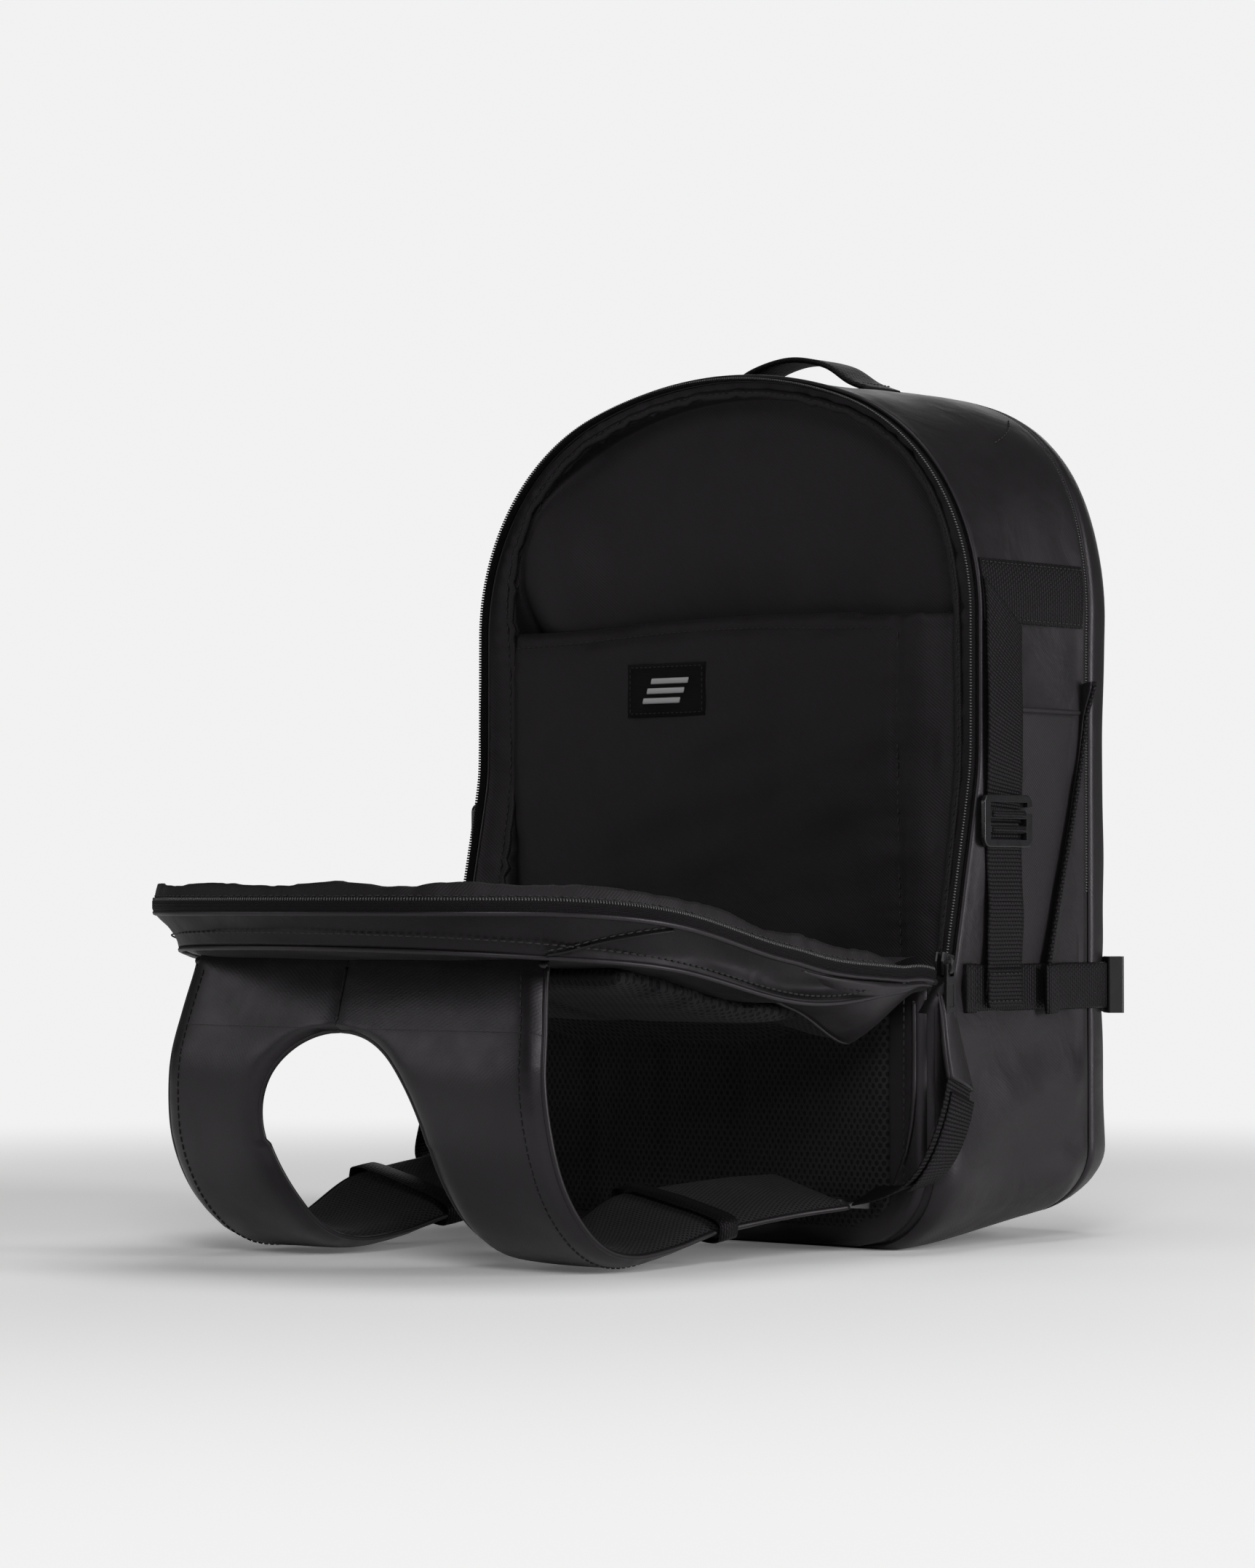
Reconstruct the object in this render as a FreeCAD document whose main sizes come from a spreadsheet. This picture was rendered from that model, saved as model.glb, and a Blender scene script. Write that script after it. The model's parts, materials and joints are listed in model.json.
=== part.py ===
# Racket backpack with its back-panel flap folded open.
#
# The bag is an arched, padded tub. Its racket compartment is closed by the back panel, which carries the
# shoulder harness and folds down like a tailgate once its zip is open. Behind a padded divider lies the
# main compartment, closed by its own zip round the outer panel.
#
# Frame: millimetres, +Z up, origin on the floor under the middle of the bag. The flap side faces -Y.
# The flap's pieces are drawn shut and then turned about the fold line, so shut is the design position.

import FreeCAD, Part
import math
import os

import Sketcher

Vector = FreeCAD.Vector
Rotation = FreeCAD.Rotation
Placement = FreeCAD.Placement

# name, millimetres (or degrees where it says so), meaning
DIMENSIONS = [
    ("half_width", 175, "half the bag's width"),
    ("bag_height", 475, "floor to crown"),
    ("corner_radius", 130, "shoulder of the arch"),
    ("crown_radius", 260, "top of the arch"),
    ("base_radius", 45, "lower corners, seen from the flap side"),
    ("edge_radius", 46, "rounding into the outer panel"),
    ("wall", 3, "padded fabric wall"),
    ("rim_y", -55, "plane of the racket compartment's rim"),
    ("fold_y", -94, "fold line of the flap"),
    ("fold_z", 142, "fold line of the flap"),
    ("bend_z", 255, "where the rim starts to run forward to the fold"),
    ("outer_y", 90, "outer panel"),
    ("foot_y", -80, "where the rim reaches the fold's height, behind both sides of the zip"),
    ("open_angle", 90, "degrees from shut to the drawn open flap"),
    ("zip_tape", 5.4, "width of one side of the racket zip"),
    ("zip_gap", 1.6, "between the two sides, which the slider's neck passes"),
    ("zip_thick", 1.8, "zip tape with its coil"),
    ("face_lift", 12, "how much thinner the flap is at the harness seam"),
    ("seam_z", 388, "height of the harness seam with the flap shut"),
    ("pad_thick", 6, "mesh back pads"),
    ("pad_half", 147, "half width of the mesh back pads"),
    ("divider_y", 0, "front of the padded divider"),
    ("divider_thick", 6, "foam divider"),
    ("board_thick", 1.5, "stiffening board in the divider"),
    ("pocket_half", 158, "half width of the racket pocket"),
    ("pocket_y", -52, "front of the racket pocket"),
    ("pocket_top", 335, "open top edge of the racket pocket"),
    ("pocket_base", 8, "floor of the racket pocket"),
    ("pocket_wall", 5, "padded racket pocket wall"),
    ("web_thick", 1.6, "nylon webbing"),
    ("band_low", 333, "upper side band"),
    ("band_wide", 34, "upper side band"),
    ("strap_low", 126, "compression strap"),
    ("strap_wide", 25, "compression strap"),
    ("hang_y", -53, "near edge of the hanging side strap"),
    ("hang_wide", 31, "hanging side strap"),
    ("pouch_top", 287, "side pocket mouth"),
    ("handle_rise", 20, "grab handle above the crown"),
    ("handle_half", 52, "grab handle, half its length"),
    ("handle_wide", 32, "grab handle webbing"),
    ("padded_thick", 10, "padded harness"),
]


class Size:
    """A number that also carries the spreadsheet expression it comes from."""

    def __init__(self, value, text=None):
        self.value = float(value)
        self.text = repr(float(value)) if text is None else text

    def _join(self, other, sign, value):
        other = other if isinstance(other, Size) else Size(other)
        return Size(value(self.value, other.value), f"({self.text} {sign} {other.text})")

    def __add__(self, other):
        return self._join(other, "+", lambda a, b: a + b)

    def __sub__(self, other):
        return self._join(other, "-", lambda a, b: a - b)

    def __mul__(self, other):
        return self._join(other, "*", lambda a, b: a * b)

    def __truediv__(self, other):
        return self._join(other, "/", lambda a, b: a / b)

    def __neg__(self):
        return Size(-self.value, f"(0 - {self.text})")

    def root(self):
        return Size(math.sqrt(self.value), f"sqrt({self.text})")


def as_size(number):
    return number if isinstance(number, Size) else Size(number)


doc = FreeCAD.newDocument("racket_backpack")
sheet = doc.addObject("Spreadsheet::Sheet", "Sizes")
dim = {}
for row, (alias, millimetres, meaning) in enumerate(DIMENSIONS, start=1):
    sheet.set(f"A{row}", meaning)
    sheet.set(f"B{row}", str(millimetres))
    sheet.setAlias(f"B{row}", alias)
    dim[alias] = Size(millimetres, f"Sizes.{alias}")
doc.recompute()

PARTS = {}  # node name: the document object that holds its shape


def keep(label, thing, placement=None):
    """Names a finished sub-part and places it."""
    thing.Label = label
    if placement is not None:
        thing.Placement = placement
    PARTS[label] = thing
    return thing


# ---------------------------------------------------------------- sketches and features

PLANES = {"XY": ("XY_Plane", 1), "XZ": ("XZ_Plane", -1), "YZ": ("YZ_Plane", 1)}


def new_sketch(body, name, plane, at=0):
    """A sketch on one of the body's origin planes, moved along the plane's axis to the coordinate at."""
    role, sense = PLANES[plane]
    sketch = body.newObject("Sketcher::SketchObject", name)
    support = [f for f in body.Origin.OriginFeatures if f.Role == role][0]
    sketch.AttachmentSupport = [(support, "")]
    sketch.MapMode = "FlatFace"
    at = as_size(at)
    sketch.AttachmentOffset = Placement(Vector(0, 0, sense * at.value), Rotation())
    sketch.setExpression("AttachmentOffset.Base.z", f"{sense} * {at.text}")
    return sketch


def bind(sketch, kind, *places, size):
    """A dimensional constraint that follows the spreadsheet."""
    size = as_size(size)
    index = sketch.addConstraint(Sketcher.Constraint(kind, *places, size.value))
    if "Sizes." in size.text:
        sketch.setExpression(f"Constraints[{index}]", size.text)


def pin_point(sketch, geometry, end, x, y):
    bind(sketch, "DistanceX", -1, 1, geometry, end, size=x)
    bind(sketch, "DistanceY", -1, 1, geometry, end, size=y)


def polygon(sketch, points):
    """A closed loop of straight lines through points, each a pair of sizes."""
    points = [(as_size(x), as_size(y)) for x, y in points]
    first = sketch.GeometryCount
    count = len(points)
    for k in range(count):
        (x0, y0), (x1, y1) = points[k], points[(k + 1) % count]
        line = Part.LineSegment(Vector(x0.value, y0.value, 0), Vector(x1.value, y1.value, 0))
        sketch.addGeometry(line, False)
    for k in range(count):
        sketch.addConstraint(Sketcher.Constraint("Coincident", first + k, 2, first + (k + 1) % count, 1))
        pin_point(sketch, first + k, 1, *points[k])


def rectangle(sketch, x0, x1, y0, y1):
    polygon(sketch, [(x0, y0), (x1, y0), (x1, y1), (x0, y1)])


def arch_line(sketch, inset, low):
    """The open arch: side line, shoulder, crown, shoulder, side line. Returns its first and last line."""
    low = as_size(low)
    width = dim["half_width"] - inset
    shoulder = dim["corner_radius"] - inset
    crown = dim["crown_radius"] - inset
    centre = dim["bag_height"] - dim["crown_radius"]
    across = (width - shoulder).value
    rise = math.sqrt((crown - shoulder).value ** 2 - across**2)
    spring = centre.value + rise  # height where the side turns into the shoulder
    turn = math.atan2(rise, across)
    axis = Vector(0, 0, 1)

    def arc(x, y, radius, start, end):
        return Part.ArcOfCircle(Part.Circle(Vector(x, y, 0), axis, radius), start, end)

    first = sketch.GeometryCount
    w = width.value
    sketch.addGeometry(Part.LineSegment(Vector(w, low.value, 0), Vector(w, spring, 0)), False)
    sketch.addGeometry(arc(across, spring, shoulder.value, 0, turn), False)
    sketch.addGeometry(arc(0, centre.value, crown.value, turn, math.pi - turn), False)
    sketch.addGeometry(arc(-across, spring, shoulder.value, math.pi - turn, math.pi), False)
    sketch.addGeometry(Part.LineSegment(Vector(-w, spring, 0), Vector(-w, low.value, 0)), False)
    for k in range(4):
        sketch.addConstraint(Sketcher.Constraint("Tangent", first + k, 2, first + k + 1, 1))
    sketch.addConstraint(Sketcher.Constraint("Vertical", first))
    sketch.addConstraint(Sketcher.Constraint("Vertical", first + 4))
    sketch.addConstraint(Sketcher.Constraint("PointOnObject", first + 2, 3, -2))
    bind(sketch, "Radius", first + 1, size=shoulder)
    bind(sketch, "Radius", first + 2, size=crown)
    bind(sketch, "Radius", first + 3, size=shoulder)
    bind(sketch, "DistanceY", -1, 1, first + 2, 3, size=centre)
    pin_point(sketch, first, 1, width, low)
    pin_point(sketch, first + 4, 2, -width, low)
    return first, first + 4


def join_ends(sketch, a, a_end, b, b_end):
    """A straight line from one free end to another."""
    start, end = sketch.getPoint(a, a_end), sketch.getPoint(b, b_end)
    index = sketch.addGeometry(Part.LineSegment(start, end), False)
    sketch.addConstraint(Sketcher.Constraint("Coincident", a, a_end, index, 1))
    sketch.addConstraint(Sketcher.Constraint("Coincident", b, b_end, index, 2))


def pad(body, sketch, length):
    feature = body.newObject("PartDesign::Pad", "Pad")
    feature.Profile = sketch
    length = as_size(length)
    feature.Length = length.value
    feature.setExpression("Length", length.text)
    doc.recompute()
    return feature


def cut_through(body, sketch):
    """Removes the sketch's area right through the body, both ways, and stops if nothing went."""
    before = body.Shape.Volume
    feature = body.newObject("PartDesign::Pocket", "Pocket")
    feature.Profile = sketch
    feature.Type = "ThroughAll"
    feature.SideType = "Symmetric"
    doc.recompute()
    if body.Shape.Volume > before - 1e-6:
        raise RuntimeError(f"{body.Name}: {sketch.Label} cut nothing")
    return feature


def cut_deep(body, sketch, depth, reverse=False):
    """Removes the sketch's area to a depth along the sketch's normal (or against it)."""
    before = body.Shape.Volume
    feature = body.newObject("PartDesign::Pocket", "Pocket")
    feature.Profile = sketch
    depth = as_size(depth)
    feature.Length = depth.value
    feature.setExpression("Length", depth.text)
    feature.Reversed = reverse
    doc.recompute()
    if body.Shape.Volume > before - 1e-6:
        raise RuntimeError(f"{body.Name}: {sketch.Label} cut nothing")
    return feature


def round_edges(body, radius, chosen):
    """Fillets the tip's edges that chosen(edge) picks."""
    tip = body.Tip
    names = [f"Edge{k}" for k, edge in enumerate(tip.Shape.Edges, start=1) if chosen(edge)]
    if not names:
        raise RuntimeError(f"{body.Name}: no edge to round")
    feature = body.newObject("PartDesign::Fillet", "Fillet")
    feature.Base = (tip, names)
    radius = as_size(radius)
    feature.Radius = radius.value
    feature.setExpression("Radius", radius.text)
    doc.recompute()
    return feature


def runs_along(axis):
    """Picks straight edges parallel to an axis."""

    def chosen(edge):
        if len(edge.Vertexes) != 2:
            return False
        step = edge.Vertexes[1].Point - edge.Vertexes[0].Point
        return step.Length > 1e-6 and abs(step.normalize().dot(axis)) > 0.999

    return chosen


def in_plane_y(y):
    """Picks the edges whose ends lie in the plane at y."""
    return lambda edge: all(abs(vertex.Point.y - y) < 0.01 for vertex in edge.Vertexes)


ALONG_X = Vector(1, 0, 0)
ALONG_Y = Vector(0, 1, 0)
ALONG_Z = Vector(0, 0, 1)


def new_body(label):
    return doc.addObject("PartDesign::Body", label)


def plate(label, x, y, z):
    """A box given by its low and high size along each axis."""
    box = doc.addObject("Part::Box", label)
    for side, corner, (low, high) in (("Length", "x", x), ("Width", "y", y), ("Height", "z", z)):
        low, high = as_size(low), as_size(high)
        box.setExpression(side, (high - low).text)
        box.setExpression(f"Placement.Base.{corner}", low.text)
    return keep(label, box)


def mirrored(label, source):
    """The same piece on the bag's other side."""
    copy = doc.addObject("Part::Mirroring", label)
    copy.Source = source
    copy.Normal = Vector(1, 0, 0)
    copy.Base = Vector(0, 0, 0)
    return keep(label, copy)


def subtract(label, outside, inside):
    """What is left of one block when another is taken out of it."""
    cut = doc.addObject("Part::Cut", label)
    cut.Base = outside
    cut.Tool = inside
    return keep(label, cut)


def both_sides(name, make):
    """Makes name_right with make(label) and mirrors it into name_left."""
    mirrored(f"{name}_left", make(f"{name}_right"))


# ---------------------------------------------------------------- the rim line, in side view

RUN = dim["rim_y"] - dim["foot_y"]
RISE = dim["bend_z"] - dim["fold_z"]
SLOPE = (RUN * RUN + RISE * RISE).root()
ABOVE = dim["bag_height"] + 10
ZIP_LINE = dim["zip_tape"] + dim["zip_gap"] / 2
FLAP_ZIP = dim["zip_tape"] + dim["zip_gap"]
FLAP_EDGE = dim["zip_tape"] * 2 + dim["zip_gap"]


def rim_points(forward):
    """The rim line moved forward: above the crown, at its bend, and at the fold's height."""
    forward = as_size(forward)
    bend = dim["bend_z"] + forward * (SLOPE - RISE) / RUN
    foot = dim["foot_y"] - forward * SLOPE / RISE
    y = dim["rim_y"] - forward
    return (y, ABOVE), (y, bend), (foot, dim["fold_z"])


def face_y(z, out=0):
    """Y of the shut flap's outer face at height z, moved out by a thickness."""
    share = (as_size(z) - dim["fold_z"]) / (dim["seam_z"] - dim["fold_z"])
    return dim["fold_y"] + dim["face_lift"] * share - out


FRONT_LIMIT = dim["fold_y"] - 30
OPEN = Placement(Vector(0, 0, 0), Rotation(Vector(1, 0, 0), dim["open_angle"].value),
                 Vector(0, dim["fold_y"].value, dim["fold_z"].value))


# ---------------------------------------------------------------- shell

def arch_band(label, inset, thick, low, back, front):
    """A body holding an upside-down U band of the arch, between two Y planes."""
    body = new_body(label)
    sketch = new_sketch(body, "Arch", "XZ", back)
    right, left = arch_line(sketch, inset, low)
    inner_right, inner_left = arch_line(sketch, inset + thick, low)
    join_ends(sketch, left, 2, inner_left, 2)
    join_ends(sketch, right, 1, inner_right, 1)
    pad(body, sketch, as_size(back) - front)
    return body


def arch_plate(label, inset, low, back, front):
    """A body holding the whole arch as a plate between two Y planes."""
    body = new_body(label)
    sketch = new_sketch(body, "Arch", "XZ", back)
    right, left = arch_line(sketch, inset, low)
    join_ends(sketch, left, 2, right, 1)
    pad(body, sketch, as_size(back) - front)
    return body


def low_corners(edge):
    """Picks the edges along Y at a plate's two lower corners."""
    return runs_along(ALONG_Y)(edge) and edge.CenterOfMass.z < dim["base_radius"].value / 2


SEAM = dim["outer_y"] - dim["edge_radius"]  # where the outer panel meets the side wall
TOE_BACK = dim["fold_y"] + dim["wall"]


def make_side_gusset():
    gusset = arch_band("side_gusset", Size(0), dim["wall"], dim["base_radius"] + 1, SEAM, TOE_BACK)
    sketch = new_sketch(gusset, "FrontCut", "YZ")
    top, bend, foot = rim_points(0)
    polygon(sketch, [top, bend, foot, (FRONT_LIMIT, foot[1]), (FRONT_LIMIT, ABOVE)])
    cut_through(gusset, sketch)
    keep("side_gusset", gusset)


def make_base():
    wall, width, height = dim["wall"], dim["half_width"], dim["base_radius"] + 1
    blocks = []
    for name, inset, top in (("BaseOutside", Size(0), height), ("BaseInside", wall, height + 5)):
        block = new_body(name)
        sketch = new_sketch(block, "End", "XZ", SEAM + inset)
        rectangle(sketch, inset - width, width - inset, inset, top)
        pad(block, sketch, SEAM - TOE_BACK + inset * 2)
        round_edges(block, dim["base_radius"] - inset, low_corners)
        blocks.append(block)
    subtract("base_panel", *blocks)


def make_outer_panel():
    blocks = []
    for name, inset in (("OuterOutside", Size(0)), ("OuterInside", dim["wall"])):
        back = dim["outer_y"] - inset
        block = arch_plate(name, inset, inset, back, SEAM - inset)
        round_edges(block, dim["base_radius"] - inset, low_corners)
        round_edges(block, dim["edge_radius"] - inset - 1, in_plane_y(back.value))
        blocks.append(block)
    subtract("outer_panel", *blocks)


def make_toe():
    """The bag's lower front, under the fold, and the mesh pad on it."""
    width = dim["half_width"]
    toe = new_body("toe_panel")
    sketch = new_sketch(toe, "Front", "XZ", TOE_BACK)
    rectangle(sketch, -width, width, 0, dim["fold_z"] - 2)
    pad(toe, sketch, dim["wall"])
    round_edges(toe, dim["base_radius"], low_corners)
    keep("toe_panel", toe)

    lumbar = new_body("lumbar_pad")
    sketch = new_sketch(lumbar, "Front", "XZ", dim["fold_y"] - 0.1)
    half = dim["pad_half"]
    rectangle(sketch, -half, half, 39, dim["fold_z"] - dim["pad_thick"] - 2)
    pad(lumbar, sketch, dim["pad_thick"] - 0.1)
    round_edges(lumbar, 25, lambda e: runs_along(ALONG_Y)(e) and e.CenterOfMass.z < 50)
    keep("lumbar_pad", lumbar)


def make_divider():
    """Foam and a stiffening board between the two compartments."""
    inset = dim["wall"] + 0.6
    foam_back = dim["divider_y"] + dim["divider_thick"]
    board_back = foam_back + dim["board_thick"]
    for label, front, back in (("divider_padding", dim["divider_y"], foam_back),
                               ("divider_board", foam_back + 0.1, board_back)):
        divider = arch_plate(label, inset, inset, back, front)
        round_edges(divider, dim["base_radius"] - dim["wall"], low_corners)
        keep(label, divider)


def make_racket_pocket():
    pocket = new_body("racket_pocket")
    half, skin = dim["pocket_half"], dim["pocket_wall"]
    front, back = dim["pocket_y"], dim["divider_y"]
    narrow = 30  # how far the inside's narrower foot reaches up
    sketch = new_sketch(pocket, "Outside", "XY", dim["pocket_base"])
    rectangle(sketch, -half, half, front, back - 0.2)
    pad(pocket, sketch, dim["pocket_top"] - dim["pocket_base"])
    round_edges(pocket, 30, low_corners)
    sketch = new_sketch(pocket, "Inside", "XY", dim["pocket_top"])
    rectangle(sketch, skin - half, half - skin, front + skin, back + 1)
    cut_deep(pocket, sketch, dim["pocket_top"] - dim["pocket_base"] - narrow)
    sketch = new_sketch(pocket, "InsideLow", "XY", dim["pocket_base"] + narrow + 0.5)
    rectangle(sketch, skin + 25 - half, half - skin - 25, front + skin, back + 1)
    cut_deep(pocket, sketch, narrow + 0.5 - skin.value)
    keep("racket_pocket", pocket)
    plate("pocket_label", (-67, -11), (front - 0.8, front), (288, 318))


def make_rim_binding():
    back, front = dim["rim_y"] + 12, dim["rim_y"] + 2
    keep("rim_binding", arch_band("rim_binding", dim["wall"], Size(3), dim["bend_z"], back, front))


def zip_strip(label, near, far):
    """One side of the racket zip: a strip of the arch between two moved copies of the rim line."""
    inset = Size(0.5)
    body = arch_band(label, inset, dim["zip_thick"], dim["fold_z"] + 1, dim["rim_y"], FRONT_LIMIT)
    sketch = new_sketch(body, "Sides", "YZ")
    top, bend, foot = rim_points(near)
    polygon(sketch, [top, bend, foot, (dim["rim_y"] + 5, foot[1]), (dim["rim_y"] + 5, ABOVE)])
    top, bend, foot = rim_points(far)
    polygon(sketch, [top, bend, foot, (FRONT_LIMIT - 1, foot[1]), (FRONT_LIMIT - 1, ABOVE)])
    cut_through(body, sketch)
    return body


def make_zips():
    keep("rim_zip_chain", zip_strip("rim_zip_chain", Size(0.05), dim["zip_tape"]))
    keep("flap_zip_chain", zip_strip("flap_zip_chain", FLAP_ZIP, FLAP_EDGE - 0.05), OPEN)
    keep("main_zip_chain", arch_band("main_zip_chain", Size(-1.9), Size(1.8), 190, SEAM + 4, SEAM - 4))


# ---------------------------------------------------------------- flap

FLAP_LOW = dim["fold_z"] + 2


def behind_rim(forward):
    """Side outline of all that lies behind the rim line moved forward."""
    top, bend, foot = rim_points(forward)
    reach = dim["rim_y"] + 5
    return [top, bend, foot, (reach, foot[1]), (reach, ABOVE)]


def in_front_of_face(out, bottom):
    """Side outline of all that lies in front of the flap's outer face moved out."""
    return [(FRONT_LIMIT - 1, ABOVE), (face_y(ABOVE, out), ABOVE), (face_y(bottom, out), bottom),
            (FRONT_LIMIT - 1, bottom)]


def make_flap_gusset():
    """What lies between the outer face and the zip."""
    gusset = arch_band("flap_gusset", Size(0), dim["wall"], FLAP_LOW, dim["rim_y"], FRONT_LIMIT)
    sketch = new_sketch(gusset, "RimCut", "YZ")
    polygon(sketch, behind_rim(FLAP_EDGE))
    cut_through(gusset, sketch)
    sketch = new_sketch(gusset, "FaceCut", "YZ")
    polygon(sketch, in_front_of_face(Size(0), FLAP_LOW - 5))
    cut_through(gusset, sketch)
    keep("flap_gusset", gusset, OPEN)


def face_plate(label, inset, out, thick, bottom):
    """A plate parallel to the outer face: out is how far it stands in front of that face."""
    body = arch_plate(label, inset, bottom, dim["rim_y"], FRONT_LIMIT)
    sketch = new_sketch(body, "FaceCut", "YZ")
    back = out - thick
    reach = dim["rim_y"] + 5
    under = as_size(bottom) - 5
    polygon(sketch, [(reach, ABOVE), (face_y(ABOVE, back), ABOVE), (face_y(under, back), under),
                     (reach, under)])
    polygon(sketch, in_front_of_face(out, under))
    cut_through(body, sketch)
    return body


def make_back_pad():
    """The mesh pad on the flap's outer face, narrower and shorter than the face."""
    body = face_plate("back_pad", dim["wall"], dim["pad_thick"], dim["pad_thick"] - 0.1, dim["fold_z"] + 4)
    half, edge = dim["pad_half"], dim["half_width"] + 5
    sketch = new_sketch(body, "Outline", "XZ")
    for sign in (-1, 1):
        polygon(sketch, [(half * sign, 0), (edge * sign, 0), (edge * sign, ABOVE), (half * sign, ABOVE)])
    cut_through(body, sketch)
    sketch = new_sketch(body, "Top", "XZ")
    rectangle(sketch, -edge, edge, dim["seam_z"] - 22, ABOVE)
    cut_through(body, sketch)
    keep("back_pad", body, OPEN)


def make_flap():
    wall = dim["wall"]
    make_flap_gusset()
    keep("flap_face", face_plate("flap_face", wall + 0.1, Size(0), Size(2), FLAP_LOW), OPEN)
    keep("flap_foam", face_plate("flap_foam", wall + 3.1, Size(-2.1), Size(6), FLAP_LOW), OPEN)
    make_back_pad()
    edge = dim["rim_y"] - FLAP_EDGE
    binding = arch_band("flap_binding", wall + 0.1, Size(3), dim["bend_z"], edge + 8, edge - 2)
    keep("flap_binding", binding, OPEN)


# ---------------------------------------------------------------- lofted ribbons of the harness

def section(centre, across, through, wide, thick):
    """A rectangular wire: across is its width's direction, through its thickness's."""
    centre, across, through = Vector(*centre), Vector(*across), Vector(*through)
    across.normalize()
    through.normalize()
    corners = [centre + across * (sx * wide / 2) + through * (sz * thick / 2)
               for sx, sz in ((-1, -1), (1, -1), (1, 1), (-1, 1))]
    return Part.makePolygon(corners + corners[:1])


def ribbon(label, stations):
    """A solid lofted through sections given as (centre, across, through, wide, thick)."""
    feature = doc.addObject("Part::Feature", label)
    feature.Shape = Part.makeLoft([section(*s) for s in stations], True, True)
    return keep(label, feature)


def make_harness():
    """Drawn as it hangs from the open flap: down from the seam, forward, then back along the floor."""
    thick = dim["padded_thick"].value
    seam_y, seam_z = -340, 154
    # Y, Z and the direction of the thickness for each station down the hanging part
    hang = [(seam_y - 6, seam_z - 12, (0, 1, 0.25)), (seam_y - 12, seam_z - 42, (0, 1, 0.1)),
            (seam_y - 13, seam_z - 82, (0, 1, -0.12)), (seam_y + 2, seam_z - 122, (0, 1, -0.55)),
            (seam_y + 20, seam_z - 140, (0, 1, -1.3))]
    yoke = [((0, y, z), (1, 0, 0), through, wide, thick)
            for (y, z, through), wide in zip(hang[:2], (240, 256))]
    ribbon("harness_yoke", yoke)

    def upper(label):
        centres, widths = (91, 95, 90, 89), (76, 82, 80, 76)
        start = (hang[1][0], hang[1][1] - 0.5, hang[1][2])
        return ribbon(label, [((x, y, z), (1, 0, 0), through, wide, thick)
                              for (y, z, through), x, wide in zip([start] + hang[2:], centres, widths)])

    both_sides("shoulder_strap", upper)

    lower_path = [(92, -287, 7.5, 74), (93, -220, 14, 68), (105, -152, 22, 60), (119, -125, 25, 50)]

    def lower(label):
        return ribbon(label, [((x, y, z), (1, -0.2, 0), (0, -0.1, 1), wide, thick)
                              for x, y, z, wide in lower_path])

    both_sides("strap_end", lower)

    def keeper(label):
        loop = new_body(label)
        sketch = new_sketch(loop, "Loop", "XZ")
        rectangle(sketch, -38, 38, -7.6, 7.6)
        rectangle(sketch, -36.4, 36.4, -6, 6)
        pad(loop, sketch, 12)
        round_edges(loop, 2.5, lambda e: runs_along(ALONG_Y)(e) and abs(e.CenterOfMass.x) > 37)
        tilt = Rotation(Vector(0, 0, 1), -5).multiply(Rotation(Vector(1, 0, 0), 6))
        return keep(label, loop, Placement(Vector(94, -212, 14.8), tilt))

    both_sides("strap_keeper", keeper)


# ---------------------------------------------------------------- webbing on the shell

SIDE = dim["half_width"]
WEB = dim["web_thick"]
HANG = (dim["hang_y"], dim["hang_y"] + dim["hang_wide"])
HANG_X = SIDE + 2.6


def make_band(label):
    height = (dim["band_low"], dim["band_low"] + dim["band_wide"])
    return plate(label, (SIDE + 0.1, SIDE + 0.1 + WEB), (dim["hang_y"] + 3, SEAM - 5), height)


def make_compression(label):
    """Along the side, round the corner of the outer panel and up to the buckle."""
    body = new_body(label)
    sketch = new_sketch(body, "Path", "XY", dim["strap_low"])
    near = Size(-72)
    end = SIDE - dim["edge_radius"]
    stop = end + (dim["edge_radius"] - 2)
    centre = Vector(end.value, SEAM.value, 0)
    ends = []
    for radius in (dim["edge_radius"] + 0.8, dim["edge_radius"] + 0.8 + WEB):
        x = end + radius
        ring = Part.Circle(centre, Vector(0, 0, 1), radius.value)
        turned = math.acos((stop - end).value / radius.value)
        bow = sketch.addGeometry(Part.ArcOfCircle(ring, 0, turned), False)
        start, corner = Vector(x.value, near.value, 0), Vector(x.value, SEAM.value, 0)
        line = sketch.addGeometry(Part.LineSegment(start, corner), False)
        sketch.addConstraint(Sketcher.Constraint("Tangent", line, 2, bow, 1))
        sketch.addConstraint(Sketcher.Constraint("Vertical", line))
        pin_point(sketch, line, 1, x, near)
        bind(sketch, "DistanceX", -1, 1, bow, 2, size=stop)
        bind(sketch, "DistanceY", -1, 1, bow, 3, size=SEAM)
        bind(sketch, "Radius", bow, size=radius)
        ends.append((line, bow))
    (line_in, bow_in), (line_out, bow_out) = ends
    join_ends(sketch, bow_in, 2, bow_out, 2)
    join_ends(sketch, line_in, 1, line_out, 1)
    pad(body, sketch, dim["strap_wide"])
    return keep(label, body)


def make_front_strap(label):
    """The other half of the compression strap, sewn to the outer panel."""
    face = dim["outer_y"] + 0.1
    height = (dim["strap_low"], dim["strap_low"] + dim["strap_wide"])
    return plate(label, (42, 118), (face, face + WEB), height)


def make_hanging_upper(label):
    return plate(label, (HANG_X, HANG_X + WEB), HANG, (240, dim["band_low"] - 1))


def make_hanging_lower(label):
    return plate(label, (HANG_X, HANG_X + WEB), HANG, (128, 214))


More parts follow.
